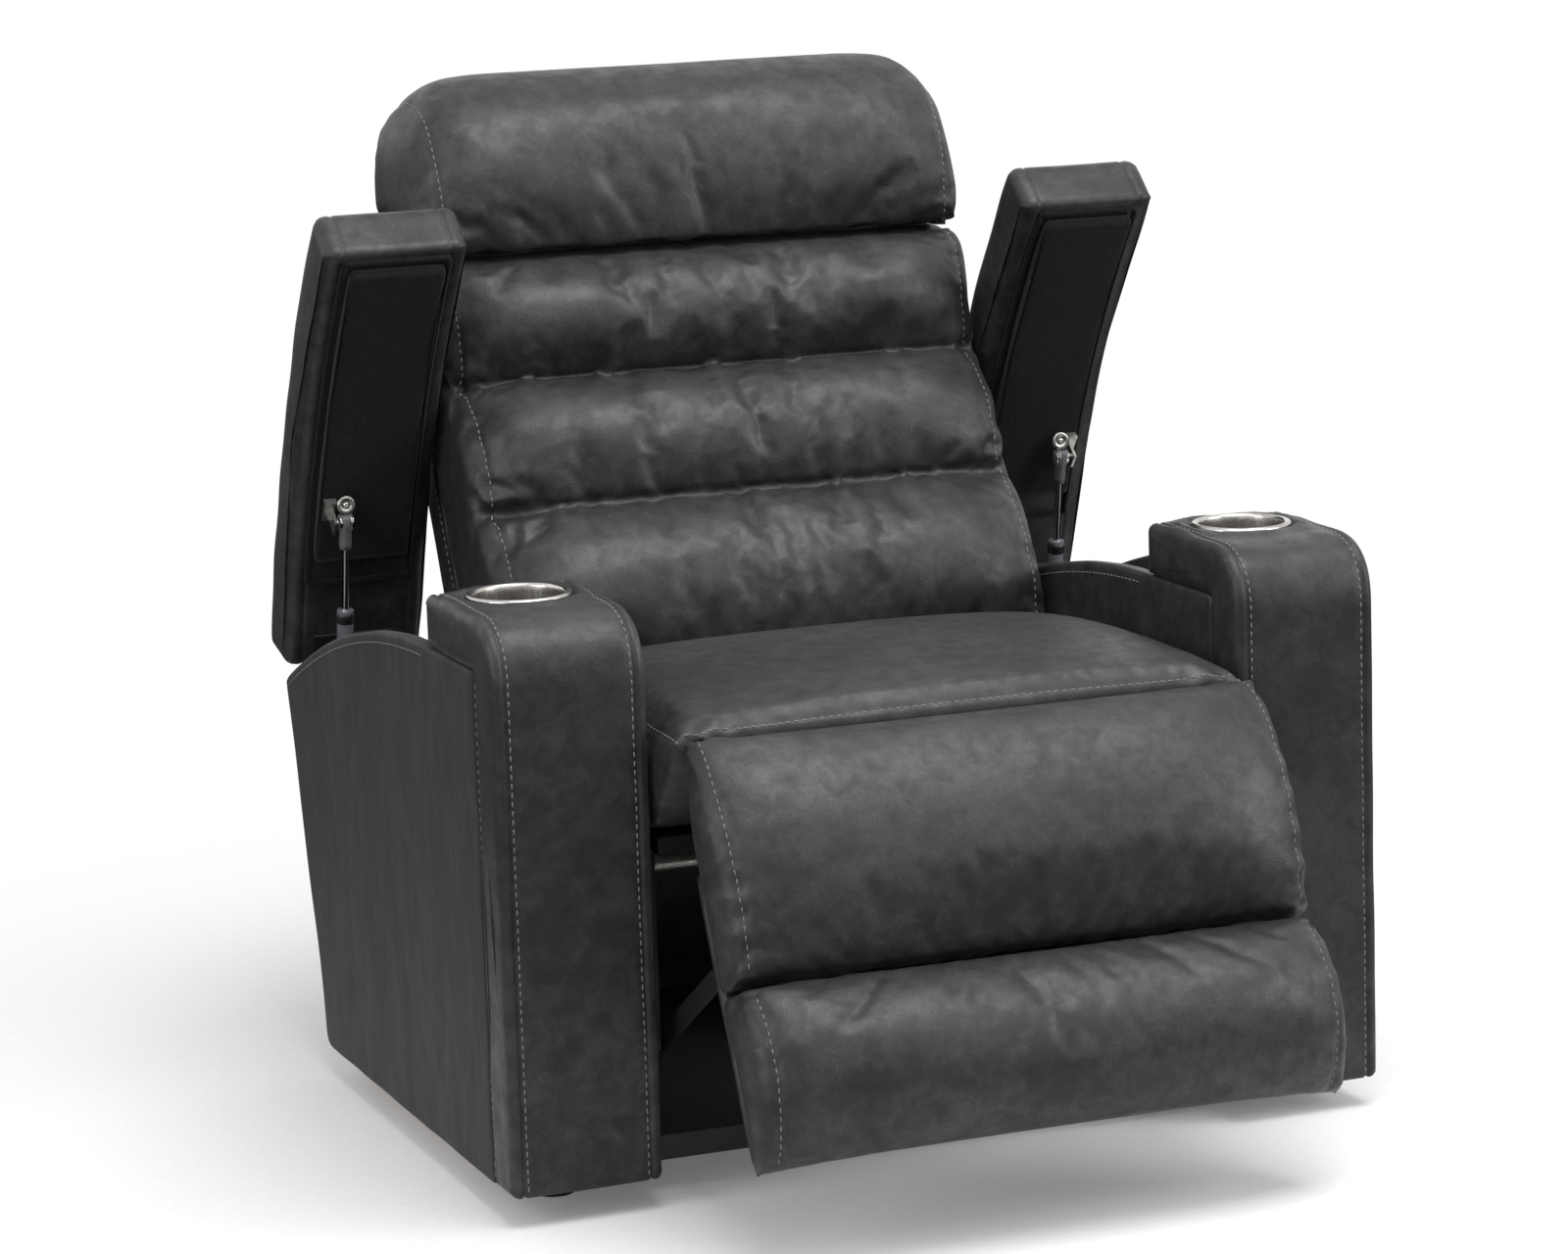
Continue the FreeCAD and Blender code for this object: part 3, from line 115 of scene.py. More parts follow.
def to_linear(code: str) -> tuple[float, float, float, float]:
    """Turn an sRGB hex value into linear light.

    Args:
        code: six hex digits.

    Returns:
        Linear red, green and blue, with an alpha of one.
    """
    parts = np.array([int(code[start:start + 2], 16) for start in (0, 2, 4)]) / 255.0
    linear = np.where(parts <= 0.04045, parts / 12.92, ((parts + 0.055) / 1.055) ** 2.4)
    return (*linear.tolist(), 1.0)


def add_node(tree: bpy.types.NodeTree, kind: str, values: dict | None = None,
             links: dict | None = None, **settings: object) -> bpy.types.Node:
    """Add a node with its settings, input values and links.

    Args:
        tree: the node tree.
        kind: the node's type name.
        values: input socket values by socket name or index.
        links: source sockets by the name or index of the input they feed.
        settings: attributes of the node itself.

    Returns:
        The new node.
    """
    made = tree.nodes.new(kind)
    for key, item in settings.items():
        setattr(made, key, item)
    for key, item in (values or {}).items():
        made.inputs[key].default_value = item
    for key, item in (links or {}).items():
        tree.links.new(item, made.inputs[key])
    return made


class Recipe:
    """A material being put together: a node tree with one shader, fed in object coordinates."""

    def __init__(self, name: str) -> None:
        """Start an empty node material.

        Args:
            name: the material's name.
        """
        self.material = bpy.data.materials.new(name)
        self.material.use_nodes = True
        self.tree = self.material.node_tree
        self.tree.nodes.clear()
        self.shader = add_node(self.tree, "ShaderNodeBsdfPrincipled")
        self.output = add_node(self.tree, "ShaderNodeOutputMaterial", None, {"Surface": self.shader.outputs[0]})
        self.place = add_node(self.tree, "ShaderNodeTexCoord").outputs["Object"]

    def scaled(self, scale: Triple, turn: Triple = (0.0, 0.0, 0.0)) -> Socket:
        """Stretch and turn the object coordinates.

        Args:
            scale: factor along each axis.
            turn: angles in radians.

        Returns:
            The new coordinates.
        """
        return add_node(self.tree, "ShaderNodeMapping", {"Scale": scale, "Rotation": turn},
                        {"Vector": self.place}).outputs[0]

    def noise(self, vector: Socket, size: float, detail: float, **values: float) -> Socket:
        """Add a noise.

        Args:
            vector: its coordinates.
            size: rough size of its spots.
            detail: finer octaves.
            values: other inputs by name.

        Returns:
            Its value.
        """
        return add_node(self.tree, "ShaderNodeTexNoise", {"Scale": 1 / size, "Detail": detail, **values},
                        {"Vector": vector}).outputs["Fac"]

    def remap(self, value: Socket, low: float, high: float, start: float = 0.0, end: float = 1.0,
              kind: str = "LINEAR") -> Socket:
        """Carry a value from one range to another.

        Args:
            value: what is carried over.
            low: start of its own range.
            high: end of its own range.
            start: result at the low end.
            end: result at the high end.
            kind: interpolation.

        Returns:
            The result.
        """
        return add_node(self.tree, "ShaderNodeMapRange",
                        {"From Min": low, "From Max": high, "To Min": start, "To Max": end},
                        {"Value": value}, interpolation_type=kind).outputs[0]

    def combine(self, kind: str, *terms: Socket | float) -> Socket:
        """Do a sum with sockets and numbers.

        Args:
            kind: the math node's operation.
            terms: its inputs in order.

        Returns:
            The result.
        """
        values = {slot: term for slot, term in enumerate(terms) if isinstance(term, float)}
        links = {slot: term for slot, term in enumerate(terms) if not isinstance(term, float)}
        return add_node(self.tree, "ShaderNodeMath", values, links, operation=kind).outputs[0]

    def mix(self, share: Socket, first: Socket | str, second: str) -> Socket:
        """Mix two colours.

        Args:
            share: part of the second.
            first: a colour as a socket or in hex.
            second: a colour in hex.

        Returns:
            The mixed colour.
        """
        values = {7: to_linear(second)}
        links = {0: share}
        if isinstance(first, str):
            values[6] = to_linear(first)
        else:
            links[6] = first
        return add_node(self.tree, "ShaderNodeMix", values, links, data_type="RGBA").outputs[2]

    def bump(self, height: Socket, strength: float, depth: float) -> Socket:
        """Raise the surface by a height.

        Args:
            height: the pattern.
            strength: its share.
            depth: its full depth.

        Returns:
            The bent normal.
        """
        return add_node(self.tree, "ShaderNodeBump", {"Strength": strength, "Distance": depth},
                        {"Height": height}).outputs[0]

    def close(self, links: dict[str, Socket], values: dict[str, object]) -> Material:
        """Feed the shader and set its even values.

        Args:
            links: sources by input name.
            values: numbers by input name.

        Returns:
            The finished material.
        """
        for name, source in links.items():
            self.tree.links.new(source, self.shader.inputs[name])
        for name, value in values.items():
            self.shader.inputs[name].default_value = value
        return self.material


@dataclass(frozen=True)
class BondedLeather:
    """Brushed bonded leather: a matt charcoal hide look, clouded and flecked, rubbed paler in patches."""

    name: str = "leather_bonded_brushed"
    deep: str = "1f1d1e"
    pale: str = "363435"
    rubbed: str = "585556"
    cloud: float = 0.11
    blotch: float = 0.022
    fleck: float = 0.0026
    # pebbles of the embossed skin, about twice as coarse as the real ones so that they show
    grain: float = 0.0022
    stretch: Triple = (1.0, 1.0, 1.0)
    gloss_low: float = 0.38
    gloss_high: float = 0.53
    bump: float = 0.35
    level: float = 0.38
    sheen: float = 0.05

    def build(self) -> Material:
        """Build the hide: large clouds choose where it is rubbed, and blotches break their edges up.

        Returns:
            The material.
        """
        recipe = Recipe(self.name)
        vector = recipe.scaled(self.stretch)
        cloud = recipe.noise(vector, self.cloud, 3.0, Roughness=0.55)
        blotch = recipe.noise(vector, self.blotch, 5.0, Roughness=0.62, Distortion=0.4)
        fleck = recipe.noise(vector, self.fleck, 2.0, Roughness=0.6)
        patch = recipe.remap(recipe.combine("MULTIPLY_ADD", cloud, 0.55, blotch), 0.57, 1.02, kind="SMOOTHSTEP")
        worn = recipe.combine("MULTIPLY", recipe.remap(fleck, 0.52, 0.78, end=0.42), patch)
        colour = recipe.mix(worn, recipe.mix(patch, self.deep, self.pale), self.rubbed)
        gloss = recipe.remap(blotch, 0.3, 0.7, self.gloss_high, self.gloss_low)
        pebble = add_node(recipe.tree, "ShaderNodeTexVoronoi", {"Scale": 1 / self.grain}, {"Vector": vector})
        lumps = recipe.combine("MULTIPLY_ADD", pebble.outputs["Distance"], 0.5, blotch)
        return recipe.close({"Base Color": colour, "Roughness": gloss, "Normal": recipe.bump(lumps, self.bump, 0.0007)},
                            {"Specular IOR Level": self.level, "Sheen Weight": self.sheen,
                             "Sheen Roughness": 0.45, "Sheen Tint": to_linear("bdb6b8")})


@dataclass(frozen=True)
class SpunThread:
    """Bonded polyester top-stitching thread: pale grey, slightly shiny, its twist shown as fine bands of painted shade.
    """

    name: str = "thread_polyester_twisted"
    colour: str = "8d8c90"
    shade: str = "5f5e62"
    twist: float = 0.0011

    def build(self) -> Material:
        """Build the thread.

        Returns:
            The material.
        """
        recipe = Recipe(self.name)
        # darker spots of the shade colour: painted shade of the twisted plies
        colour = recipe.mix(recipe.noise(recipe.place, self.twist, 1.0), self.shade, self.colour)
        return recipe.close({"Base Color": colour}, {"Roughness": 0.6})


@dataclass(frozen=True)
class FeltedCloth:
    """Needled polypropylene lining cloth: black, hairy and dull, with a faint speckle."""

    name: str = "lining_needled_felt"
    deep: str = "0b0b0c"
    pale: str = "232324"
    fibre: float = 0.0016

    def build(self) -> Material:
        """Build the felt from crossed stretched noises that read as loose fibres.

        Returns:
            The material.
        """
        recipe = Recipe(self.name)
        lays = [recipe.noise(recipe.scaled(stretch, (0.4, 0.2, 0.7)), self.fibre, 4.0, Roughness=0.7)
                for stretch in ((1.0, 0.25, 0.6), (0.5, 0.8, 0.2))]
        fibres = recipe.combine("MULTIPLY", *lays)
        colour = recipe.mix(recipe.remap(fibres, 0.18, 0.42), self.deep, self.pale)
        return recipe.close({"Base Color": colour, "Normal": recipe.bump(fibres, 0.7, 0.0009)},
                            {"Roughness": 0.95, "Specular IOR Level": 0.15, "Sheen Weight": 0.12})


@dataclass(frozen=True)
class Worked:
    """A worked surface: its colour, its polish, the run of its fine scratches and its soft stains."""

    name: str
    colour: str
    shade: str
    low: float
    high: float
    size: float = 0.004
    bump: float = 0.1
    metallic: float = 0.0
    scratch: Triple = (1.0, 1.0, 1.0)
    blotch: float = 0.03
    coat: float = 0.0

    def build(self) -> Material:
        """Build the surface: stretched noise for the scratches, soft noise for the stains.

        Returns:
            The material.
        """
        recipe = Recipe(self.name)
        lines = recipe.noise(recipe.scaled(self.scratch), self.size, 4.0, Roughness=0.65)
        both = recipe.combine("ADD", lines, recipe.noise(recipe.place, self.blotch, 2.0))
        colour = recipe.mix(recipe.remap(both, 0.7, 1.3), self.shade, self.colour)
        gloss = recipe.remap(both, 0.7, 1.3, self.high, self.low)
        return recipe.close({"Base Color": colour, "Roughness": gloss, "Normal": recipe.bump(lines, self.bump, 0.0003)},
                            {"Metallic": self.metallic, "Coat Weight": self.coat})


@dataclass(frozen=True)
class WovenBand:
    """Elastic upholstery webbing: tight rubber and polyester weave with rows along the band."""

    name: str = "webbing_woven_elastic"
    colour: str = "2e2c2b"
    shade: str = "121212"
    pitch: float = 0.0032

    def build(self) -> Material:
        """Build the weave from two crossed wave textures.

        Returns:
            The material.
        """
        recipe = Recipe(self.name)
        rows = [add_node(recipe.tree, "ShaderNodeTexWave", {"Scale": 1 / (self.pitch * 20), "Distortion": 0.4},
                         {"Vector": recipe.place}, bands_direction=way).outputs["Fac"] for way in ("X", "Y")]
        cross = recipe.combine("MULTIPLY", *rows)
        return recipe.close({"Base Color": recipe.mix(cross, self.shade, self.colour),
                             "Normal": recipe.bump(cross, 0.6, 0.0006)}, {"Roughness": 0.85})


class Finish(Enum):
    """Every finish of the chair."""

    HIDE = BondedLeather()
    # the outer arm panels: the same hide with a brushed nap, streaked upright
    NAPPED = BondedLeather("leather_bonded_napped", deep="29282a", pale="333234", rubbed="48474a", cloud=0.16,
                           blotch=0.02, stretch=(1.0, 1.0, 0.28), gloss_low=0.62, gloss_high=0.72, bump=0.22,
                           level=0.25, sheen=0.08)
    THREAD = SpunThread()
    FELT = FeltedCloth()
    # brushed stainless sheet: bright, streaked around and down the drawn cup
    CUP = Worked("stainless_brushed", "dcdad6", "a5a29d", 0.16, 0.34, 0.003, 0.25, 1.0, scratch=(1.0, 1.0, 0.06))
    # black powder coat on steel: not a metal to the eye, with a slight orange peel
    BLACK = Worked("steel_powder_coated", "1d1d1e", "0f0f10", 0.38, 0.52, 0.003, 0.3)
    # bright zinc plate: pale, cloudy crystals
    ZINC = Worked("steel_zinc_plated", "c9c8c2", "8f8e8a", 0.24, 0.42, 0.006, 0.1, 1.0, blotch=0.008)
    # grey enamel on the strut's cylinder: smooth, even, half gloss
    ENAMEL = Worked("steel_enamelled_grey", "77787c", "64656a", 0.3, 0.4, 0.005, 0.08, coat=0.2)
    # hard chrome on the piston rod: a mirror with a faint lengthwise polish
    CHROME = Worked("steel_hard_chromed", "e6e6e8", "bdbdc0", 0.08, 0.18, 0.002, 0.05, 1.0, scratch=(1.0, 1.0, 0.1))
    # moulded black ABS and nylon: fine spark texture, no metal
    MOULDED = Worked("plastic_moulded_black", "161617", "0c0c0d", 0.34, 0.5, 0.0018, 0.4)
    # grey moulded nylon of the ball sockets
    SOCKET = Worked("plastic_moulded_grey", "6c6d70", "505155", 0.34, 0.5, 0.0018, 0.3)
    # raw plywood, pale with long dark grain lines
    PLYWOOD = Worked("plywood_raw", "a98a63", "7d6142", 0.6, 0.75, 0.006, 0.4, scratch=(0.08, 1.0, 1.0))
    WEBBING = WovenBand()

    @cached_property
    def material(self) -> Material:
        """Build the finish the first time that it is asked for."""
        return self.value.build()


# ---- shapes


def to_loop(points: list[Triple], steps: int = 8) -> Array:
    """Round the corners of a closed outline.

    Each corner is replaced by a quadratic curve between two points that lie at the corner's
    own radius along its two sides.

    Args:
        points: corners in order as depth, height and radius.
        steps: pieces in each curve.

    Returns:
        The closed loop, counter-clockwise, as (n, 2) places along Y and Z.
    """
    raw = np.array(points, float)
    corner = np.stack([raw[:, 0] + ARM_FRONT, raw[:, 1]], 1)
    ahead, behind = (np.roll(corner, way, 0) - corner for way in (-1, 1))
    start = corner + behind / np.linalg.norm(behind, axis=1, keepdims=True) * raw[:, 2:3]
    end = corner + ahead / np.linalg.norm(ahead, axis=1, keepdims=True) * raw[:, 2:3]
    share = np.linspace(0, 1, steps + 1)[None, :, None]
    curve = ((1 - share) ** 2 * start[:, None] + 2 * share * (1 - share) * corner[:, None]
             + share ** 2 * end[:, None])
    loop = curve.reshape(-1, 2)
    following = np.roll(loop, -1, 0)
    area = np.sum(loop[:, 0] * following[:, 1] - following[:, 0] * loop[:, 1])
    return loop if area > 0 else loop[::-1]


def spread(loop: Array, pitch: float, closed: bool = True) -> Array:
    """Space points evenly along a line: its length is added up and read at even steps.

    Args:
        loop: (n, k) points.
        pitch: wanted distance between points.
        closed: whether the last point joins the first.

    Returns:
        The evenly spaced points.
    """
    line = np.concatenate([loop, loop[:1]]) if closed else loop
    step = np.linalg.norm(np.diff(line, axis=0), axis=1)
    run = np.concatenate([[0.0], np.cumsum(step)])
    spots = np.linspace(0, run[-1], max(int(round(run[-1] / pitch)), 3), endpoint=not closed)
    return np.stack([np.interp(spots, run, line[:, axis]) for axis in range(line.shape[1])], 1)


def inset(loop: Array, amount: float) -> Array:
    """Move a closed counter-clockwise loop inwards along its own normals.

    Args:
        loop: (n, 2) points.
        amount: distance inwards.

    Returns:
        The moved loop.
    """
    run = np.roll(loop, -1, 0) - np.roll(loop, 1, 0)
    out = np.stack([run[:, 1], -run[:, 0]], 1)
    out /= np.maximum(np.linalg.norm(out, axis=1, keepdims=True), 1e-9)
    return loop - out * amount


def stand(across: float | Array, line: Array) -> Array:
    """Stand a flat line in the chair.

    Args:
        across: place along X, or one for each point.
        line: (n, 2) places along Y and Z.

    Returns:
        (n, 3) places.
    """
    return np.column_stack([np.broadcast_to(across, len(line)), line])


def spin(points: Array, degrees: float, centre: Pair) -> Array:
    """Turn places about a line along X.

    Args:
        points: (..., 3) places.
        degrees: the angle.
        centre: Y and Z of the line.

    Returns:
        The turned places.
    """
    angle = math.radians(degrees)
    y, z = points[..., 1] - centre[0], points[..., 2] - centre[1]
    return np.stack([points[..., 0], y * math.cos(angle) - z * math.sin(angle) + centre[0],
                     y * math.sin(angle) + z * math.cos(angle) + centre[1]], -1)


def arch_line(depth: Array, over: float = 0.0) -> Array:
    """Give the arch of the arm, a circle that leaves the post level, or one at a distance over it.

    Args:
        depth: depths behind the arm's front.
        over: distance above the arch.

    Returns:
        (n, 2) depth and height.
    """
    reach = ARCH_RADIUS + over
    return np.column_stack([depth, ARCH_TOP - ARCH_RADIUS + np.sqrt(reach ** 2 - (depth - POST_DEEP) ** 2)])


def back_depth(height: float | Array, behind: float) -> float | Array:
    """Give the depth of a plane that lies behind the front of the leaning back frame.

    Args:
        height: where it is wanted.
        behind: level distance from the frame's front.

    Returns:
        The depth.
    """
    return BACK_FOOT[0] + (height - BACK_FOOT[1]) * BACK_SLOPE + behind


def ripple(points: Array, size: float, seed: int) -> Array:
    """Smooth wander between about -1 and 1: a sum of ten sine waves in fixed scattered directions.

    Args:
        points: (..., 3) places.
        size: rough wavelength.
        seed: picks the directions and phases.

    Returns:
        One value for each place.
    """
    chance = np.random.default_rng(seed)
    waves = chance.normal(size=(10, 3))
    waves *= (2 * np.pi / size) * (0.6 + 0.8 * chance.random((10, 1))) / np.linalg.norm(waves, axis=1, keepdims=True)
    phases = chance.random(10) * 2 * np.pi
    return np.sin(points @ waves.T + phases).sum(-1) / 4.5


def folds(along: Array, size: float, seed: int) -> Array:
    """Irregular gathers along a seam, between 0 and 1: nine sine waves of mixed width, sharpened by a power.

    Args:
        along: places along the seam.
        size: rough distance between folds.
        seed: picks widths and phases.

    Returns:
        The height of the folds.
    """
    chance = np.random.default_rng(seed)
    widths = size * (0.55 + 1.3 * chance.random(9))
    phases = chance.random(9) * 2 * np.pi
    total = np.sin(along[..., None] * 2 * np.pi / widths + phases).sum(-1) / 4.2
    return np.clip(0.5 + 0.5 * total, 0, 1) ** 1.5


def grid_normals(rings: Array) -> Array:
    """Outward normals of a stack of closed rings, from the cross product of its two ways.

    Args:
        rings: (m, n, 3) points.

    Returns:
        Unit normals, zero where a ring has shrunk to a point.
    """
    around = np.roll(rings, -1, 1) - np.roll(rings, 1, 1)
    normal = np.cross(around, np.gradient(rings, axis=0))
    length = np.linalg.norm(normal, axis=2, keepdims=True)
    normal = np.where(length > 1e-12, normal / np.maximum(length, 1e-12), 0)
    facing = np.sum(normal * (rings - rings.mean((0, 1))))
    return normal if facing > 0 else -normal


def build_piece(name: str, points: Array, faces: Array, finish: Finish) -> Piece:
    """Put points and faces into a smooth mesh that sits at the origin, weld its poles and face it outwards.

    Args:
        name: the piece's name.
        points: (..., 3) places.
        faces: (m, 4) corners of each face.
        finish: its finish.

    Returns:
        The object.
    """
    mesh = bpy.data.meshes.new(name)
    mesh.from_pydata(points.reshape(-1, 3).tolist(), [], faces.tolist())
    work = bmesh.new()
    work.from_mesh(mesh)
    bmesh.ops.remove_doubles(work, verts=work.verts, dist=2e-6)
    bmesh.ops.dissolve_degenerate(work, edges=work.edges, dist=1e-7)
    bmesh.ops.recalc_face_normals(work, faces=work.faces)
    work.to_mesh(mesh)
    work.free()
    mesh.polygons.foreach_set("use_smooth", np.full(len(mesh.polygons), True))
    mesh.materials.append(finish.material)
    mesh.update()
    piece = bpy.data.objects.new(name, mesh)
    bpy.context.scene.collection.objects.link(piece)
    return piece


def ring_faces(rows: int, count: int, wrapped: bool = False) -> Array:
    """Corners of the faces between stacked closed rings.

    Args:
        rows: how many rings.
        count: points in each ring.
        wrapped: whether the last ring joins the first.

    Returns:
        (n, 4) corners.
    """
    row, column = np.meshgrid(np.arange(rows if wrapped else rows - 1), np.arange(count), indexing="ij")
    following, above = (column + 1) % count, (row + 1) % rows
    return np.stack([row * count + column, row * count + following, above * count + following,
                     above * count + column], -1).reshape(-1, 4)


def build_rings(name: str, rings: Array, finish: Finish, wrapped: bool = False) -> Piece:
    """Skin a stack of closed rings, which end in points or join round to the first.

    Args:
        name: the piece's name.
        rings: (m, n, 3) points.
        finish: its finish.
        wrapped: whether the last ring joins the first.

    Returns:
        The object.
    """
    return build_piece(name, rings, ring_faces(rings.shape[0], rings.shape[1], wrapped), finish)


def build_turned(name: str, outline: Array, centre: Array, axis: Array, finish: Finish, steps: int) -> Piece:
    """Turn a closed outline about an axis: each point goes round a circle of its own radius.

    Args:
        name: the piece's name.
        outline: (n, 2) radius and reach along the axis.
        centre: where the axis starts.
        axis: its unit direction, along Y, along Z or between them.
        finish: its finish.
        steps: pieces round the circle.

    Returns:
        The object.
    """
    turn = np.linspace(0, 2 * np.pi, steps, endpoint=False)[:, None]
    sideways = np.array([1.0, 0.0, 0.0])
    circle = sideways * np.cos(turn) + np.cross(axis, sideways) * np.sin(turn)
    rings = centre + axis * outline[:, 1][:, None, None] + outline[:, 0][:, None, None] * circle
    return build_rings(name, rings, finish, wrapped=True)


def build_wire(name: str, path: Array, radius: float, finish: Finish, steps: int = 8, closed: bool = False) -> Piece:
    """Carry a round section along a path.

    Each ring stands across the path, on a frame whose side is the cross product of the path's
    direction with a fixed slanting vector, and open ends shrink to a point.

    Args:
        name: the piece's name.
        path: (n, 3) points.
        radius: of the wire.
        finish: its finish.
        steps: pieces round the section.
        closed: whether the path joins its own start.

    Returns:
        The object.
    """
    run = (np.roll(path, -1, 0) - np.roll(path, 1, 0)) if closed else np.gradient(path, axis=0)
    run = run / np.linalg.norm(run, axis=1, keepdims=True)
    across = np.cross(run, np.array([0.31, 0.17, 0.94]))
    across /= np.linalg.norm(across, axis=1, keepdims=True)
    up = np.cross(run, across)
    turn = np.linspace(0, 2 * np.pi, steps, endpoint=False)[:, None]
    size = np.full((len(path), 1, 1), radius)
    if not closed:
        size[[0, -1]] = 0.0
    rings = path[:, None] + size * (across[:, None] * np.cos(turn) + up[:, None] * np.sin(turn))
    return build_rings(name, rings, finish, wrapped=closed)


def settle(piece: Piece, body: str, slot: Slot, *nodes: str) -> Piece:
    """Seat a piece on its body and hide the solids that it stands for.

    Args:
        piece: the object.
        body: the body that it rides on.
        slot: the record's slot; not used.
        nodes: the CAD nodes that it replaces.

    Returns:
        The same object.
    """
    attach(piece, body)
    if nodes:
        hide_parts(*nodes)
    LOG.info("%s rides on %s", piece.name, body)
    return piece


@dataclass
class Slab:
    """A board-like upholstered piece: an outline in the YZ plane with thickness along X.

    The outline is drawn in towards its own middle on both faces, with a quarter round at the
    edge, shallow grooves where seams run, and a slight swell of the faces.
    """

    name: str
    outline: Array
    span: Pair
    edge: float = 0.006
    puff: float = 0.0015
    seam: float | None = None
    groove: float = 0.0014
    crown: float = 0.0
    pitch: float = 0.008
    wander: float = 0.0006
    seed: int = 3
    centre: Pair | None = None

    def rings(self) -> Array:
        """Work out the rings from one face to the other.

        Returns:
            (m, n, 3) points.
        """
        loop = spread(self.outline, self.pitch)
        half = (self.span[1] - self.span[0]) / 2
        middle = loop.mean(0) if self.centre is None else np.array(self.centre) + (ARM_FRONT, 0.0)
        face = inset(loop, self.edge)
        rows, places = [], []
        for share in (0.0, 0.1, 0.2, 0.3, 0.4, 0.5, 0.6, 0.7, 0.8, 0.88, 0.94, 0.98):
            rows.append(middle + (face - middle) * share)
            places.append(-self.puff * (1 - share ** 4))
        for turn in np.linspace(0, np.pi / 2, 5):
            rows.append(inset(loop, self.edge * (1 - math.sin(turn))))
            places.append(self.edge * (1 - math.cos(turn)))
        stops = set(np.linspace(self.edge, half, max(int(half / 0.012), 3)).tolist())
        if self.seam is not None:
            stops |= {self.seam + aside for aside in (-0.0035, -0.0015, 0.0, 0.0015, 0.0035)}
        for stop in sorted(stop for stop in stops if self.edge + 1e-5 < stop < half + 1e-9):
            dip = 0.0 if self.seam is None else self.groove * math.exp(-((stop - self.seam) / 0.0017) ** 2)
            rise = self.crown * (1 - (1 - stop / half) ** 2)
            rows.append(inset(loop, dip - rise))
            places.append(stop)
        front = [stand(self.span[0] + place, row) for row, place in zip(rows, places)]
        back = [stand(self.span[1] - place, row) for row, place in zip(rows, places)]
        if abs(places[-1] - half) < 1e-6:
            back.pop()
        rings = np.array(front + back[::-1])
        return rings + grid_normals(rings) * (ripple(rings, 0.11, self.seed) * self.wander)[..., None]

    def build(self, finish: Finish, body: str, slot: Slot, *nodes: str) -> Piece:
        """Build the slab, seat it on its body and hide the solids that it stands for.

        Args:
            finish: its finish.
            body: the body that it rides on.
            slot: the record's slot.
            nodes: the CAD nodes that it replaces.

        Returns:
            The object.
        """
        return settle(build_rings(self.name, self.rings(), finish), body, slot, *nodes)


def read_points(piece: Piece, what: str = "co") -> Array:
    """Read a piece's vertices as an (n, 3) array.

    Args:
        piece: the object.
        what: "co" for places, "normal" for normals.

    Returns:
        The values.
    """
    flat = np.empty(len(piece.data.vertices) * 3)
    piece.data.vertices.foreach_get(what, flat)
    return flat.reshape(-1, 3)


def write_points(piece: Piece, points: Array) -> None:
    """Write a piece's vertices from an (n, 3) array."""
    piece.data.vertices.foreach_set("co", points.ravel())
    piece.data.update()


def apply_modifier(piece: Piece, name: str, kind: str, **settings: object) -> None:
    """Add a modifier to a piece and apply it.

    Args:
        piece: the object, changed in place.
        name: the modifier's name.
        kind: its type.
        settings: its attributes.
    """
    modifier = piece.modifiers.new(name, kind)
    for key, item in settings.items():
        setattr(modifier, key, item)
    bake_modifier(piece, name)


def bake_modifier(piece: Piece, name: str) -> None:
    """Apply one modifier of a piece by name."""
    bpy.context.view_layer.objects.active = piece
    with bpy.context.temp_override(object=piece, active_object=piece, selected_objects=[piece]):
        bpy.ops.object.modifier_apply(modifier=name)


def nearness(points: Array, path: Array, width: float) -> Array:
    """Bell-shaped closeness of places to a path, one on it and fading over the width.

    Args:
        points: (n, 3) places.
        path: (m, 3) closely spaced points.
        width: distance over which it fades.

    Returns:
        One value for each place.
    """
    low, high = path.min(0) - 4 * width, path.max(0) + 4 * width
    close = np.flatnonzero(np.all((points > low) & (points < high), axis=1))
    result = np.zeros(len(points))
    for part in np.array_split(close, max(len(close) // 4000, 1)):
        if len(part):
            gap = np.linalg.norm(points[part][:, None] - path[None], axis=2).min(1)
            result[part] = np.exp(-(gap / width) ** 2)
    return result


@dataclass
class Seam:
    """A line of top-stitching on a piece: where it runs and how deep it draws the leather in."""

    path: Array
    depth: float = 0.0018
    width: float = 0.0045
    stitched: bool = True
    pitch: float = 0.0088
    length: float = 0.0064
    radius: float = 0.00075


# cloth that is light, firm along its weave and well damped, so that it settles in a few frames
CLOTH = {"quality": 3, "mass": 0.35, "tension_stiffness": 12, "compression_stiffness": 6, "shear_stiffness": 4,
         "bending_stiffness": 0.6, "tension_damping": 8, "compression_damping": 8, "shear_damping": 6,
         "air_damping": 2, "use_pressure": True}
CLOTH_FRAMES = 15


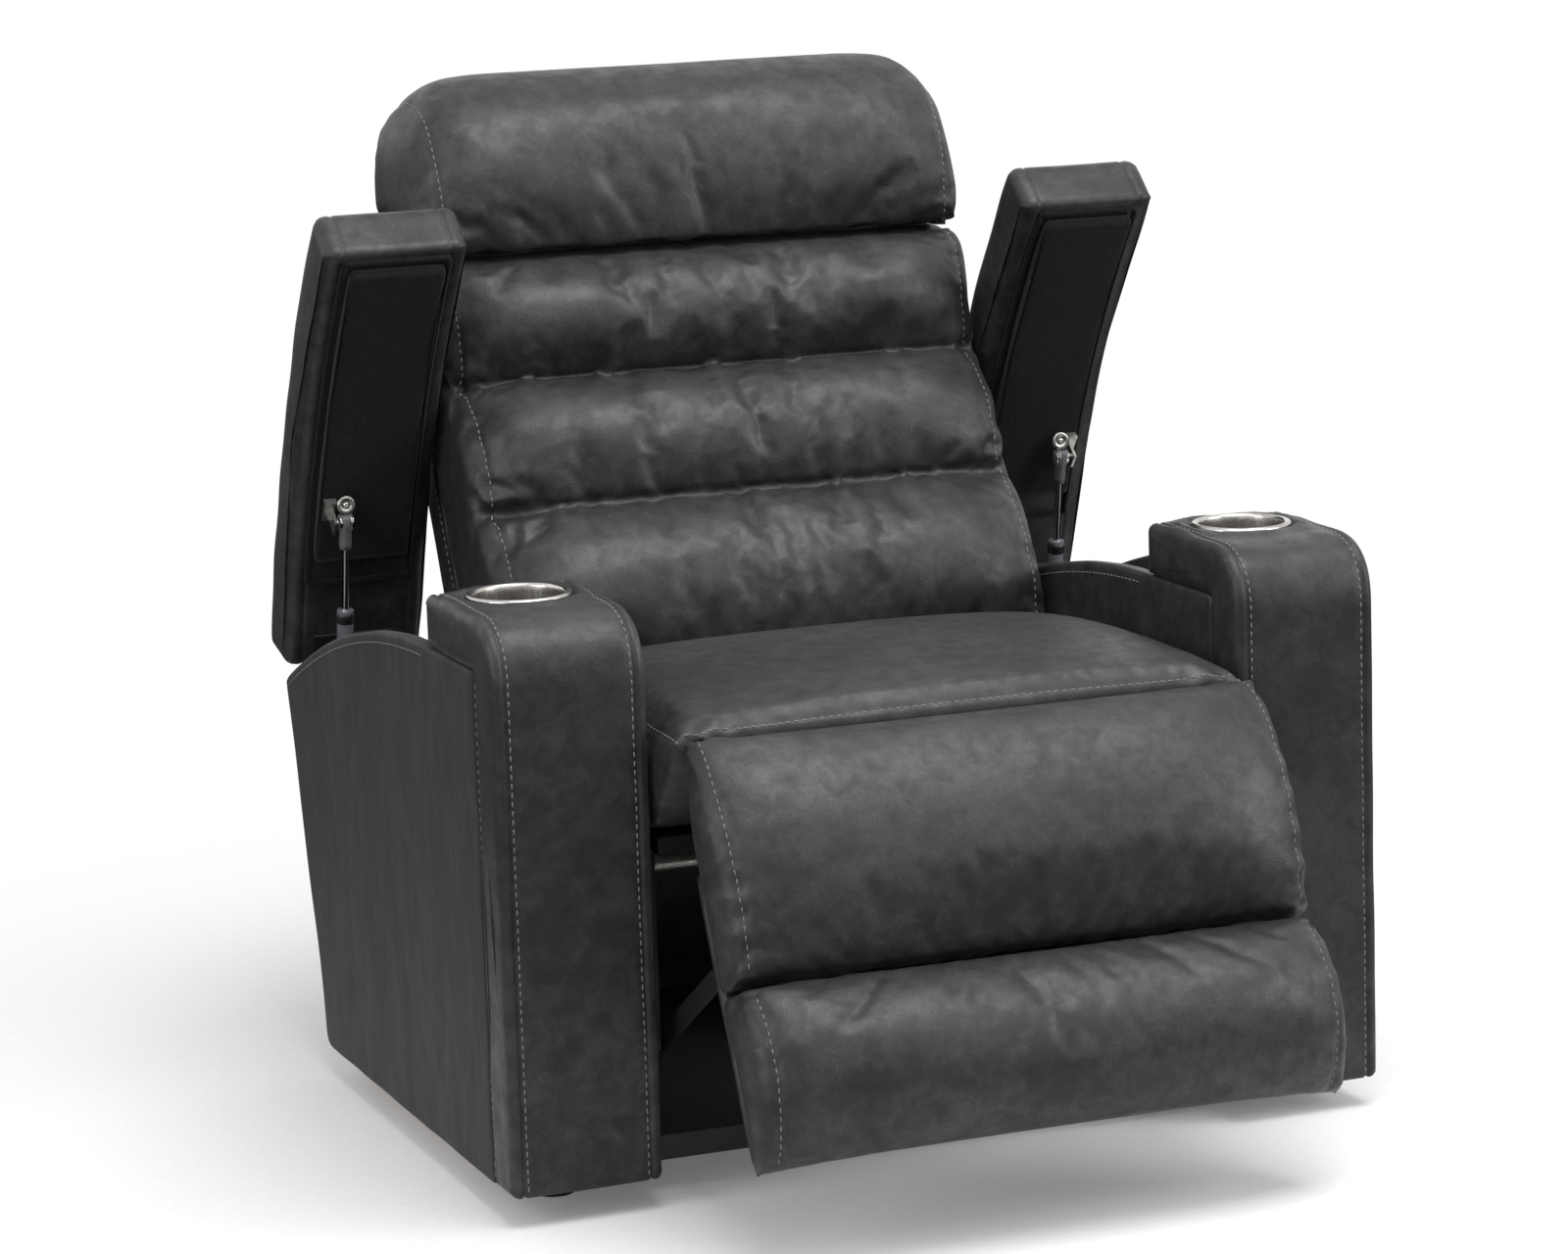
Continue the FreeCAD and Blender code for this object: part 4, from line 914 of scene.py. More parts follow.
@dataclass
class Upholstery:
    """A stuffed piece: its rings, its seams and the folds that its stuffing throws."""

    name: str
    rings: Array
    body: str
    node: str
    seams: list[Seam]
    fill: float
    cap: float
    slack: float
    shrink: float = 0.003
    pressure: float = 4.0
    held: list[Array] = field(default_factory=list)
    held_width: float = 0.007
    voxel: float = 0.0068
    limits: tuple[Triple, Triple] | None = None

    def build(self) -> None:
        """Build the piece, stuff it, draw its seams in and stitch them."""
        piece = build_rings(self.name, self.rings, Finish.HIDE)
        self.stuff(piece)
        points, normals = read_points(piece), read_points(piece, "normal")
        for seam in self.seams:
            points -= normals * (nearness(points, seam.path, seam.width) * seam.depth)[:, None]
        write_points(piece, points)
        settle(piece, self.body, Slot.LEATHER, self.node)
        for number, seam in enumerate(self.seams):
            if seam.stitched:
                sew(f"{self.name}_stitching_{number + 1}", piece, seam, self.body)

    def stuff(self, piece: Piece) -> None:
        """Swell the piece by cloth simulation, held along its creases, and keep it inside its limits.

        Args:
            piece: the object, changed in place.
        """
        write_points(piece, read_points(piece) - read_points(piece, "normal") * self.shrink)
        apply_modifier(piece, "Even", "REMESH", mode="VOXEL", voxel_size=self.voxel, use_smooth_shade=True)
        before = read_points(piece)
        hold = np.zeros(len(before))
        for line in self.held:
            hold = np.maximum(hold, nearness(before, line, self.held_width))
        group = piece.vertex_groups.new(name="held")
        for level in (0.35, 0.65, 0.9):
            group.add(np.flatnonzero(hold > level).tolist(), level, "REPLACE")
        cloth = piece.modifiers.new("Stuffing", "CLOTH")
        for key, item in CLOTH.items():
            setattr(cloth.settings, key, item)
        cloth.settings.uniform_pressure_force = self.pressure
        cloth.settings.shrink_min = -self.slack
        cloth.settings.effector_weights.gravity = 0.0
        cloth.settings.vertex_group_mass = "held"
        cloth.collision_settings.use_collision = False
        cloth.point_cache.frame_start = 1
        cloth.point_cache.frame_end = CLOTH_FRAMES
        for number in range(1, CLOTH_FRAMES + 1):
            bpy.context.scene.frame_set(number)
        bake_modifier(piece, "Stuffing")
        bpy.context.scene.frame_set(1)
        piece.vertex_groups.clear()
        move = read_points(piece) - before
        move *= np.minimum(1.0, self.cap / np.maximum(np.linalg.norm(move, axis=1, keepdims=True), 1e-9))
        points = before + move
        if self.limits is not None:
            points = soft_clip(points, *np.array(self.limits) + (0.0, ARM_FRONT, 0.0))
        write_points(piece, points)
        apply_modifier(piece, "Finer", "SUBSURF", levels=1, render_levels=1)


def soft_clip(points: Array, low: Array, high: Array, soft: float = 0.006) -> Array:
    """Press places back inside a box, easing over a soft margin.

    A place beyond the margin's start is moved so that its distance to the wall shrinks
    exponentially and never reaches zero.

    Args:
        points: (n, 3) places.
        low: lowest corner.
        high: highest corner.
        soft: the margin.

    Returns:
        The moved places.
    """
    over = points - (high - soft)
    points = np.where(over > 0, high - soft * np.exp(-np.maximum(over, 0) / soft), points)
    under = (low + soft) - points
    return np.where(under > 0, low + soft * np.exp(-np.maximum(under, 0) / soft), points)


def sew(name: str, piece: Piece, seam: Seam, body: str) -> None:
    """Lay separate stitches on a piece along a seam.

    The path is dropped onto the nearest place of the surface, cut into even pitches, and each stitch
    is a spindle whose ends dip into the leather.

    Args:
        name: the stitching's name.
        piece: what it is sewn on.
        seam: its path and sizes.
        body: the body that it rides on.
    """
    tree = BVHTree.FromObject(piece, bpy.context.evaluated_depsgraph_get())
    hits = [tree.find_nearest(Vector(place)) for place in spread(seam.path, seam.pitch / 2, closed=False)]
    spots = np.array([list(hit[0]) for hit in hits])
    facing = np.array([list(hit[1]) for hit in hits])
    kernel = np.array([0.25, 0.5, 0.25])
    for axis in range(3):
        facing[1:-1, axis] = np.convolve(facing[:, axis], kernel, "valid")
        spots[1:-1, axis] = np.convolve(spots[:, axis], kernel, "valid")
    middle, tangent, normal = spots[1:-1:2], np.gradient(spots, axis=0)[1:-1:2], facing[1:-1:2]
    tangent = tangent / np.linalg.norm(tangent, axis=1, keepdims=True)
    normal = normal - tangent * np.sum(normal * tangent, axis=1, keepdims=True)
    normal /= np.maximum(np.linalg.norm(normal, axis=1, keepdims=True), 1e-9)
    across = np.cross(tangent, normal)
    along = np.array([-0.5, -0.36, 0.0, 0.36, 0.5]) * seam.length
    girth = np.array([0.0, 0.8, 1.0, 0.8, 0.0])[:, None] * seam.radius
    lift = np.array([-1.1, 0.1, 0.45, 0.1, -1.1])[:, None] * seam.radius
    turn = np.linspace(0, 2 * np.pi, 6, endpoint=False)
    points = (middle[:, None, None] + tangent[:, None, None] * along[:, None, None]
              + normal[:, None, None] * (lift + girth * np.sin(turn))[..., None]
              + across[:, None, None] * (girth * np.cos(turn))[..., None])
    each = ring_faces(5, 6)
    every = (each[None] + (np.arange(len(middle)) * 30)[:, None, None]).reshape(-1, 4)
    settle(build_piece(name, points, every, Finish.THREAD), body, Slot.LINING)


def bulge(start: Array, end: Array, swell: float | Array, count: int, power: float = FULLNESS) -> Array:
    """Give the bulged side between two corners, for every ring at once.

    A point moves evenly from corner to corner and stands out to the left of the way it goes by the
    swell times a half sine wave raised to a power below one, which makes the side full and its ends sharp.

    Args:
        start: (m, 2) first corners.
        end: (m, 2) last corners.
        swell: height of the bulge, or one for each ring.
        count: points on the side, without the last.
        power: fullness.

    Returns:
        (m, count, 2) points.
    """
    share = np.linspace(0, 1, count, endpoint=False)[None, :, None]
    run = end - start
    left = np.stack([-run[:, 1], run[:, 0]], 1)
    left /= np.maximum(np.linalg.norm(left, axis=1, keepdims=True), 1e-9)
    rise = np.broadcast_to(swell, len(run))[:, None, None] * np.sin(np.pi * share) ** power
    return start[:, None] + run[:, None] * share + left[:, None] * rise


def go_round(corners: list[Array], sides: list[tuple]) -> Array:
    """Join corners all round by bulged sides.

    Args:
        corners: (m, 2) places of each corner.
        sides: swell, count and, if it isn't plain, fullness of the side that leaves each corner.

    Returns:
        (m, n, 2) points.
    """
    following = corners[1:] + corners[:1]
    return np.concatenate([bulge(start, end, *side) for start, end, side in zip(corners, following, sides)], 1)


def stack_rings(across: Array, loops: Array, cheek: float = 0.0022) -> Array:
    """Give rings at stations across X, with both ends closed by loops that shrink to their middle.

    Args:
        across: (m,) X of each ring.
        loops: (m, n, 2) places in the YZ plane.
        cheek: how far the middle of each end stands out.

    Returns:
        (m + 12, n, 3) points.
    """
    body = np.concatenate([np.broadcast_to(across[:, None, None], loops[..., :1].shape), loops], -1)
    shares = np.array([0.97, 0.88, 0.7, 0.45, 0.2, 0.0])[:, None]
    caps = []
    for ring, out in ((body[0], -1.0), (body[-1], 1.0)):
        middle = ring.mean(0)
        cap = middle + (ring - middle)[None] * shares[..., None]
        cap[..., 0] = ring[0, 0] + out * cheek * (1 - shares ** 2)
        caps.append(cap)
    return np.concatenate([caps[0][::-1], body, caps[1]])


def stations(half: float, count: int = 45) -> Array:
    """Give places across the width, closer together near both edges."""
    return half * np.sin(np.linspace(-np.pi / 2, np.pi / 2, count)) * 0.55 + half * np.linspace(-1, 1, count) * 0.45


def edge_fall(across: Array, half: float, reach: float, depth: float) -> Array:
    """Give how far a surface falls towards a side edge: a quarter ellipse over the last reach.

    Args:
        across: (m,) places across the width.
        half: half the width.
        reach: width of the fall.
        depth: its full depth.

    Returns:
        (m,) falls.
    """
    share = np.clip((np.abs(across) - (half - reach)) / reach, 0, 0.995)
    return depth * (1 - np.sqrt(1 - share ** 2))


def middle_share(across: Array, flat: float, fade: float) -> Array:
    """Give the share of the full swell: one over the middle, fading as a parabola towards the edges."""
    return 1 - np.clip((np.abs(across) - flat) / fade, 0, 1) ** 2


def at(depth: float, height: float, back: Array, up: Array | float = 0.0) -> Array:
    """Give a corner for every ring, moved back and up by the given amounts."""
    return np.stack([depth + ARM_FRONT + back, height + up + np.zeros(len(back))], 1)


def crease_folds(rings: Array, crease: Pair, reach: float, size: float, seed: int) -> Array:
    """Folds that run away from a sewn crease: none on it, highest 12 mm off and fading over the reach.

    Args:
        rings: (..., 3) places.
        crease: its depth and height.
        reach: how far the folds run.
        size: rough distance between folds.
        seed: picks them.

    Returns:
        Heights.
    """
    gap = np.hypot(rings[..., 1] - ARM_FRONT - crease[0], rings[..., 2] - crease[1])
    fade = np.exp(-(np.clip(gap - 0.012, 0, None) / reach) ** 1.3) * np.clip(gap / 0.012, 0, 1)
    return 0.0042 * fade * (folds(rings[..., 0], size, seed) - FOLD_MEAN)


def edge_folds(rings: Array, place: float, width: float, rise: float, slant: float, size: float,
               seed: int) -> Array:
    """Folds across a side seam, deepest next to it.

    Args:
        rings: (..., 3) places.
        place: distance of the folds' middle from the centre line.
        width: how far they reach.
        rise: their height.
        slant: how much they follow the depth as well as the height.
        size: rough distance between folds.
        seed: picks them.

    Returns:
        Heights.
    """
    edge = np.exp(-((np.abs(rings[..., 0]) - place) / width) ** 2)
    return rise * edge * (folds(rings[..., 2] + slant * rings[..., 1], size, seed) - FOLD_MEAN)


def side_line(loops: Callable[[Array], Array], place: float, part: slice) -> Array:
    """Give part of a pad's outline at one place across.

    Args:
        loops: works out outlines at stations.
        place: X of the line.
        part: which points are kept.

    Returns:
        (n, 3) places.
    """
    return stand(place, loops(np.array([place, place]))[0][part])


# ---- the chair's pieces


@dataclass
class Arm:
    """One arm: a post with the cup holder, two side panels, a rear board and the stitching."""

    side: Side
    post_top: float = 0.594
    lift: float = 0.030
    post_round: float = 0.058
    strip: float = 0.060
    heel: Pair = (0.646, 0.075)
    cup_place: float = 0.1435
    rim: float = 0.052

    @property
    def middle(self) -> float:
        """X of the arm's middle."""
        return self.side.value * (ARM_INNER + ARM_OUTER) / 2

    def panel_outline(self, front: float) -> Array:
        """Give a side panel's outline.

        Args:
            front: depth of its front edge.

        Returns:
            The closed loop.
        """
        arc = [(*point, 0.0) for point in arch_line(np.linspace(POST_DEEP, ARCH_END[0], 24)).tolist()][1:-1]
        corners = [(front, self.lift, 0.003), (self.heel[0] - 0.006, self.lift, 0.017),
                   (*self.heel, 0.017), (*ARCH_END, 0.006), *arc[::-1],
                   (POST_DEEP, ARCH_TOP, 0.0), (front, ARCH_TOP, 0.003)]
        return to_loop(corners, 5)

    def build_panels(self) -> None:
        """Build the napped outer panel and the inner panel, with a seam inside the arch's edge."""
        word = self.side.word
        outer = ("outer", ARM_OUTER - PANEL_THICK, ARM_OUTER, ARM_OUTER, Finish.NAPPED, 5)
        inner = ("inner", ARM_INNER, ARM_INNER + PANEL_THICK, ARM_INNER, Finish.HIDE, 8)
        for label, near, far, face, finish, seed in (outer, inner):
            slab = Slab(f"{label}_panel_leather_{word}", self.panel_outline(self.strip + 0.0006),
                        self.side.span(near, far), edge=0.0045, puff=0.0012, pitch=0.009, seed=seed, wander=0.0005)
            panel = slab.build(finish, "base", Slot.LEATHER, f"{label}_panel_{word}")
            arc = arch_line(np.linspace(POST_DEEP, ARCH_END[0], 60)) + (ARM_FRONT, -0.011)
            path = stand(face * self.side.value, arc)[2:-1]
            sew(f"{label}_panel_stitching_{word}", panel, Seam(path), "base")

    def post_rings(self) -> Array:
        """Work out the post's padded cover.

        The outline runs up the front, over a large round and back along the top. Across the width it
        is a quarter round at each edge, with a shallow groove under each seam. The top swells round
        the cup and dips inside its rim.

        Returns:
            (m, n, 3) points.
        """
        outline = to_loop([(0.0, self.lift, 0.008), (self.strip, self.lift, 0.003),
                           (self.strip, ARCH_TOP, 0.002), (POST_DEEP, ARCH_TOP, 0.003),
                           (POST_DEEP, self.post_top, 0.010), (0.0, self.post_top, self.post_round * 1.15)], 14)
        rings = Slab("post", outline, self.side.span(ARM_INNER, ARM_OUTER), edge=0.009, puff=0.001, seam=0.0125,
                     groove=0.0022, pitch=0.0045, wander=0.0007, seed=11 if self.side is Side.RIGHT else 12,
                     centre=(0.048, 0.562)).rings()
        gap = np.hypot(rings[..., 0] - self.middle, rings[..., 1] - ARM_FRONT - self.cup_place)
        swell = 0.0042 * np.exp(-((gap - self.rim - 0.010) / 0.009) ** 2)
        dip = -0.030 / (1 + np.exp((gap - self.rim + 0.006) / 0.0016))
        rings[..., 2] += np.where(rings[..., 2] > self.post_top - 0.004, swell + dip, 0.0)
        return rings

    def build_post(self) -> None:
        """Build the post with its cloth-covered core and three lines of stitching."""
        word = self.side.word
        piece = settle(build_rings(f"front_post_leather_{word}", self.post_rings(), Finish.HIDE),
                       "base", Slot.LEATHER, f"front_post_{word}")
        turn = np.linspace(math.pi, math.pi / 2, 16)
        curve = np.column_stack([self.post_round + self.post_round * np.cos(turn),
                                 self.post_top - self.post_round + self.post_round * np.sin(turn)])
        line = np.concatenate([[[0.0, self.lift + 0.006]], curve, [[POST_DEEP - 0.004, self.post_top]]])
        line = spread(line, 0.004, closed=False) + (ARM_FRONT, 0.0)
        for label, place in (("inner", ARM_INNER + 0.0155), ("outer", ARM_OUTER - 0.0155)):
            sew(f"post_stitching_{label}_{word}", piece, Seam(stand(self.side.value * place, line)), "base")
        front, top = self.strip - 0.002, ARCH_TOP + 0.001
        core = to_loop([(front, self.lift, 0.002), (POST_DEEP, self.lift, 0.004), (POST_DEEP, top, 0.002),
                        (front, top, 0.002)], 3)
        span = self.side.span(ARM_INNER + PANEL_THICK + 0.0002, ARM_OUTER - PANEL_THICK - 0.0002)
        Slab(f"front_post_core_cloth_{word}", core, span, edge=0.002, puff=0.0, pitch=0.012,
             seed=13).build(Finish.FELT, "base", Slot.LINING)
        # down the side, where the post cover meets the outer panel's front edge
        depth = ARM_FRONT + self.strip - 0.006
        path = stand(ARM_OUTER * self.side.value, np.array([[depth, self.lift + 0.01], [depth, ARCH_TOP - 0.004]]))
        sew(f"post_side_stitching_{word}", piece, Seam(spread(path, 0.01, closed=False), pitch=0.0092), "base")

    def build_cup(self) -> None:
        """Turn the drawn cup: a rolled rim on the leather, a straight wall and a dished floor."""
        throat, wall = 0.0445, 0.0012
        roll = np.linspace(math.pi, 0, 12)
        rim = np.column_stack([(self.rim + throat) / 2 + (self.rim - throat) / 2 * np.cos(roll),
                               0.0006 + 0.0034 * np.sin(roll)])
        inside = np.array([[0.0005, -0.0790], [0.020, -0.0795], [0.036, -0.0788], [0.0415, -0.0760],
                           [0.0436, -0.0700], [0.0440, -0.040], [0.0444, -0.004]])
        outside = np.array([[self.rim - 0.0004, -0.0006], [0.0462, -0.0012], [0.0444 + wall, -0.006],
                            [0.0440 + wall, -0.040], [0.0436 + wall, -0.0715], [0.0415, -0.0785],
                            [0.036, -0.0808], [0.0005, -0.0812]])
        centre = np.array([self.middle, ARM_FRONT + self.cup_place, self.post_top + 0.0008])
        cup = build_turned(f"cup_drawn_{self.side.word}", np.concatenate([inside, rim, outside]), centre,
                           np.array([0.0, 0.0, 1.0]), Finish.CUP, 96)
        settle(cup, "base", Slot.STEEL, f"cup_holder_{self.side.word}")

    def build_rear(self) -> None:
        """Cover the rear board between the panels in leather."""
        slope = (ARCH_END[0] - self.heel[0]) / (ARCH_END[1] - self.heel[1])
        low, high = self.heel[1], ARCH_END[1] - 0.005
        foot = self.heel[0] - 0.002
        head = foot + (high - low) * slope
        outline = to_loop([(foot, low, 0.004), (head, high, 0.004), (head - PANEL_THICK, high, 0.004),
                           (foot - PANEL_THICK, low, 0.004)], 4)
        span = self.side.span(ARM_INNER + PANEL_THICK + 0.0002, ARM_OUTER - PANEL_THICK - 0.0002)
        Slab(f"rear_board_leather_{self.side.word}", outline, span, edge=0.003, puff=0.0, pitch=0.006, seed=17
             ).build(Finish.HIDE, "base", Slot.LEATHER, f"arm_rear_board_{self.side.word}")

    def build(self) -> None:
        """Build the whole arm."""
        self.build_panels()
        self.build_post()
        self.build_cup()
        self.build_rear()


@dataclass
class Lid:
    """One storage lid: a padded arched cover with a cloth-covered inner board, standing open."""

    side: Side
    opened: float = 49.5
    hinge: Pair = (0.742, 0.421)

    @property
    def body(self) -> str:
        """Name the body that the lid rides on."""
        return f"lid_{self.side.word}"

    def turn_open(self, points: Array) -> Array:
        """Turn places about the hinge from the closed place to the rest pose."""
        return spin(points, -self.opened, (self.hinge[0] + ARM_FRONT, self.hinge[1]))

    def outline(self, ends: Pair, heights: Pair, round_over: float, lean: float = 0.0) -> Array:
        """Give the closed outline of an arched board.

        Args:
            ends: front depth, and rear depth of its underside.
            heights: of its underside and its top over the arch.
            round_over: radius of the top corners.
            lean: how much further back its top reaches.

        Returns:
            The loop.
        """
        under = arch_line(np.linspace(*ends, 22), heights[0])
        over = arch_line(np.linspace(ends[1] + lean, ends[0], 22), heights[1])
        corners = [(*under[0], 0.004)] + [(*point, 0.0) for point in under[1:-1]] + [(*under[-1], 0.006)]
        corners += [(*over[0], round_over)] + [(*point, 0.0) for point in over[2:-2]] + [(*over[-1], round_over)]
        return to_loop(corners, 6)

    def build(self) -> None:
        """Build the cover, the cloth-covered board and its hem."""
        word = self.side.word
        low, high = self.side.span(ARM_INNER, ARM_OUTER)
        cover = Slab(f"lid_leather_{word}", self.outline((0.2155, 0.7325), (0.0022, 0.0675), 0.016, 0.028),
                     (low + 0.0004, high - 0.0004), edge=0.013, puff=0.0016, seam=0.019, groove=0.0012,
                     pitch=0.0085, wander=0.0009, seed=21 if self.side is Side.RIGHT else 24)
        board = Slab(f"lid_liner_cloth_{word}", self.outline((0.2375, 0.6080), (-0.0105, 0.0030), 0.002),
                     (low + 0.0262, high - 0.0262), edge=0.0035, puff=0.0006, pitch=0.007, wander=0.0005, seed=27)
        for slab, finish, slot, node in ((cover, Finish.HIDE, Slot.LEATHER, f"lid_pad_{word}"),
                                         (board, Finish.FELT, Slot.LINING, f"lid_liner_{word}")):
            settle(build_rings(slab.name, self.turn_open(slab.rings()), finish), self.body, slot, node)
        self.build_hem(low + 0.0205, high - 0.0205)

    def build_hem(self, left: float, right: float) -> None:
        """Lay the felt's turned hem round the board: a flat rounded band close to the rim.

        Args:
            left: X of one long side.
            right: X of the other.
        """
        under = arch_line(np.linspace(0.2285, 0.640, 40), 0.0012) + (ARM_FRONT, 0.0)
        over = np.linspace(left, right, 14)[1:-1]
        path = np.concatenate([stand(left, under), stand(over, np.repeat(under[-1:], 12, 0)),
                               stand(right, under[::-1]), stand(over[::-1], np.repeat(under[:1], 12, 0))])
        hem = build_wire(f"lid_hem_{self.side.word}", self.turn_open(spread(path, 0.008)), 0.0032, Finish.FELT,
                         steps=10, closed=True)
        settle(hem, self.body, Slot.LINING)


@dataclass
class Strut:
    """One gas strut's fittings: grey ball sockets with wire clips, the rod's collar and the ring plate."""

    side: Side
    plane: float = 0.419
    foot: Pair = (0.684, 0.380)
    eye: Pair = (0.64747, 0.59804)

    @property
    def length(self) -> float:
        """Distance between the two ball studs."""
        return math.dist(self.foot, self.eye)

    @property
    def axis(self) -> Array:
        """Unit direction from the foot to the eye."""
        return np.array([0.0, self.eye[0] - self.foot[0], self.eye[1] - self.foot[1]]) / self.length

    def along(self, reach: float, aside: float = 0.0) -> Array:
        """Give a point on the strut's line.

        Args:
            reach: distance from the foot.
            aside: distance outwards along X.

        Returns:
            The place.
        """
        foot = np.array([self.side.value * (self.plane + aside), self.foot[0] + ARM_FRONT, self.foot[1]])
        return foot + self.axis * reach

    def build(self) -> None:
        """Build the tube's crimped end, both sockets, their clips and the ring plate with its screw."""
        word, end = self.side.word, self.length
        tube, rod = f"strut_tube_{word}", f"strut_rod_{word}"
        collar = [(0.0042, 0.1185), (0.0070, 0.1200), (0.0093, 0.1190), (0.0096, 0.1150), (0.0091, 0.1080),
                  (0.0091, 0.1075), (0.0042, 0.1100)]
        foot_socket = [(0.0030, 0.0045), (0.0085, 0.0050), (0.0098, 0.0085), (0.0098, 0.0190), (0.0092, 0.0215),
                       (0.0030, 0.0215)]
        eye_socket = [(0.0030, end - 0.030), (0.0062, end - 0.030), (0.0068, end - 0.024), (0.0068, end - 0.010),
                      (0.0088, end - 0.0065), (0.0092, end + 0.004), (0.0080, end + 0.0082), (0.0030, end + 0.0090)]
        for label, outline, finish, body, slot in (
                ("tube_collar", collar, Finish.MOULDED, tube, Slot.PLASTIC),
                ("tube_foot_socket", foot_socket, Finish.SOCKET, tube, Slot.STRUT),
                ("rod_socket", eye_socket, Finish.SOCKET, rod, Slot.STRUT)):
            piece = build_turned(f"strut_{label}_{word}", np.array(outline), self.along(0.0), self.axis, finish, 32)
            settle(piece, body, slot)
        turn = np.linspace(0.25 * np.pi, 1.85 * np.pi, 28)
        ring = stand(0.0, np.column_stack([np.cos(turn), np.sin(turn)]) * 0.0094)
        for spot, body, label in ((0.0, tube, "foot"), (end, rod, "eye")):
            clip = self.along(spot, -0.0045) + ring
            tail = clip[-1] + np.array([[-self.side.value * 0.003, 0.003, 0.004]])
            wire = build_wire(f"strut_clip_{label}_{word}", np.concatenate([clip, tail]), 0.0008, Finish.ZINC)
            settle(wire, body, Slot.ZINC)
        centre = self.along(0.2211 + 0.019, -0.001)
        washer = [(0.0042, -0.0012), (0.0090, -0.0012), (0.0104, -0.0002), (0.0090, 0.0012), (0.0042, 0.0012)]
        head = [(0.0003, -0.0024), (0.0022, -0.0022), (0.0036, -0.0010), (0.0040, 0.0006), (0.0003, 0.0008)]
        for label, outline, steps in (("ring_plate", washer, 40), ("screw", head, 24)):
            piece = build_turned(f"strut_{label}_{word}", np.array(outline), centre, np.array([0.0, 1.0, 0.0]),
                                 Finish.ZINC, steps)
            settle(piece, f"lid_{word}", Slot.ZINC)


@dataclass
class SeatCushion:
    """The seat: a crowned cushion whose front seam overhangs the leg rest."""

    half: float = 0.3100
    seam: Pair = (-0.050, 0.481)
    rear: Pair = (0.421, 0.462)
    sole: float = 0.3715
    toe: float = 0.014

    def front_edge(self, across: Array) -> tuple[Array, Array, Array]:
        """Give the crown and the fall of the front edge.

        Args:
            across: places across the width.

        Returns:
            How far it falls back, the share of the full crown and the rise.
        """
        fall = edge_fall(across, self.half, 0.075, 0.026)
        full = 1 - (np.abs(across) / self.half) ** 3
        return fall, full, 0.012 * full - fall

    def rings(self) -> Array:
        """Work out the cushion: a long crown over the top and a front that slopes back under the seam.

        Returns:
            The rings.
        """
        across = stations(self.half)
        fall, full, rise = self.front_edge(across)
        nothing = np.zeros(len(across))
        corners = [at(*self.rear, nothing, rise), at(*self.seam, fall * 0.45, 0.5 * rise),
                   at(self.toe, self.sole, nothing), at(self.rear[0], self.sole, nothing)]
        sides = [(-0.024 * (0.55 + 0.45 * full), 70, 0.8), (-0.017 * full - 0.003, 22, 0.7), (0.0, 60), (0.0, 16)]
        return stack_rings(across, go_round(corners, sides)[:, ::-1])

    def build(self) -> None:
        """Build the cushion with its front stitching and its side seams."""
        line = np.linspace(-0.296, 0.296, 120)
        fall, _, rise = self.front_edge(line)
        front = np.column_stack([ARM_FRONT + self.seam[0] + fall * 0.45 + 0.003, self.seam[1] + 0.5 * rise + 0.008])
        seams = [Seam(stand(line, front), depth=0.0028, width=0.006)]
        depth = np.linspace(self.seam[0] + 0.012, self.rear[0] - 0.03, 90)
        share = (depth - self.seam[0]) / (self.rear[0] - self.seam[0])
        height = self.seam[1] + (self.rear[1] - self.seam[1]) * share + 0.014 * np.sin(np.pi * share) ** 0.8
        run = np.column_stack([depth + ARM_FRONT, height - 0.012])
        seams += [Seam(stand(side * 0.2985, run), depth=0.002) for side in (-1.0, 1.0)]
        Upholstery("seat_cushion_leather", self.rings(), "seat", "seat_cushion", seams, fill=0.75, cap=0.007,
                   slack=0.004, pressure=3.0, limits=((-0.3132, -0.066, 0.3712), (0.3132, 0.4225, 0.530))).build()


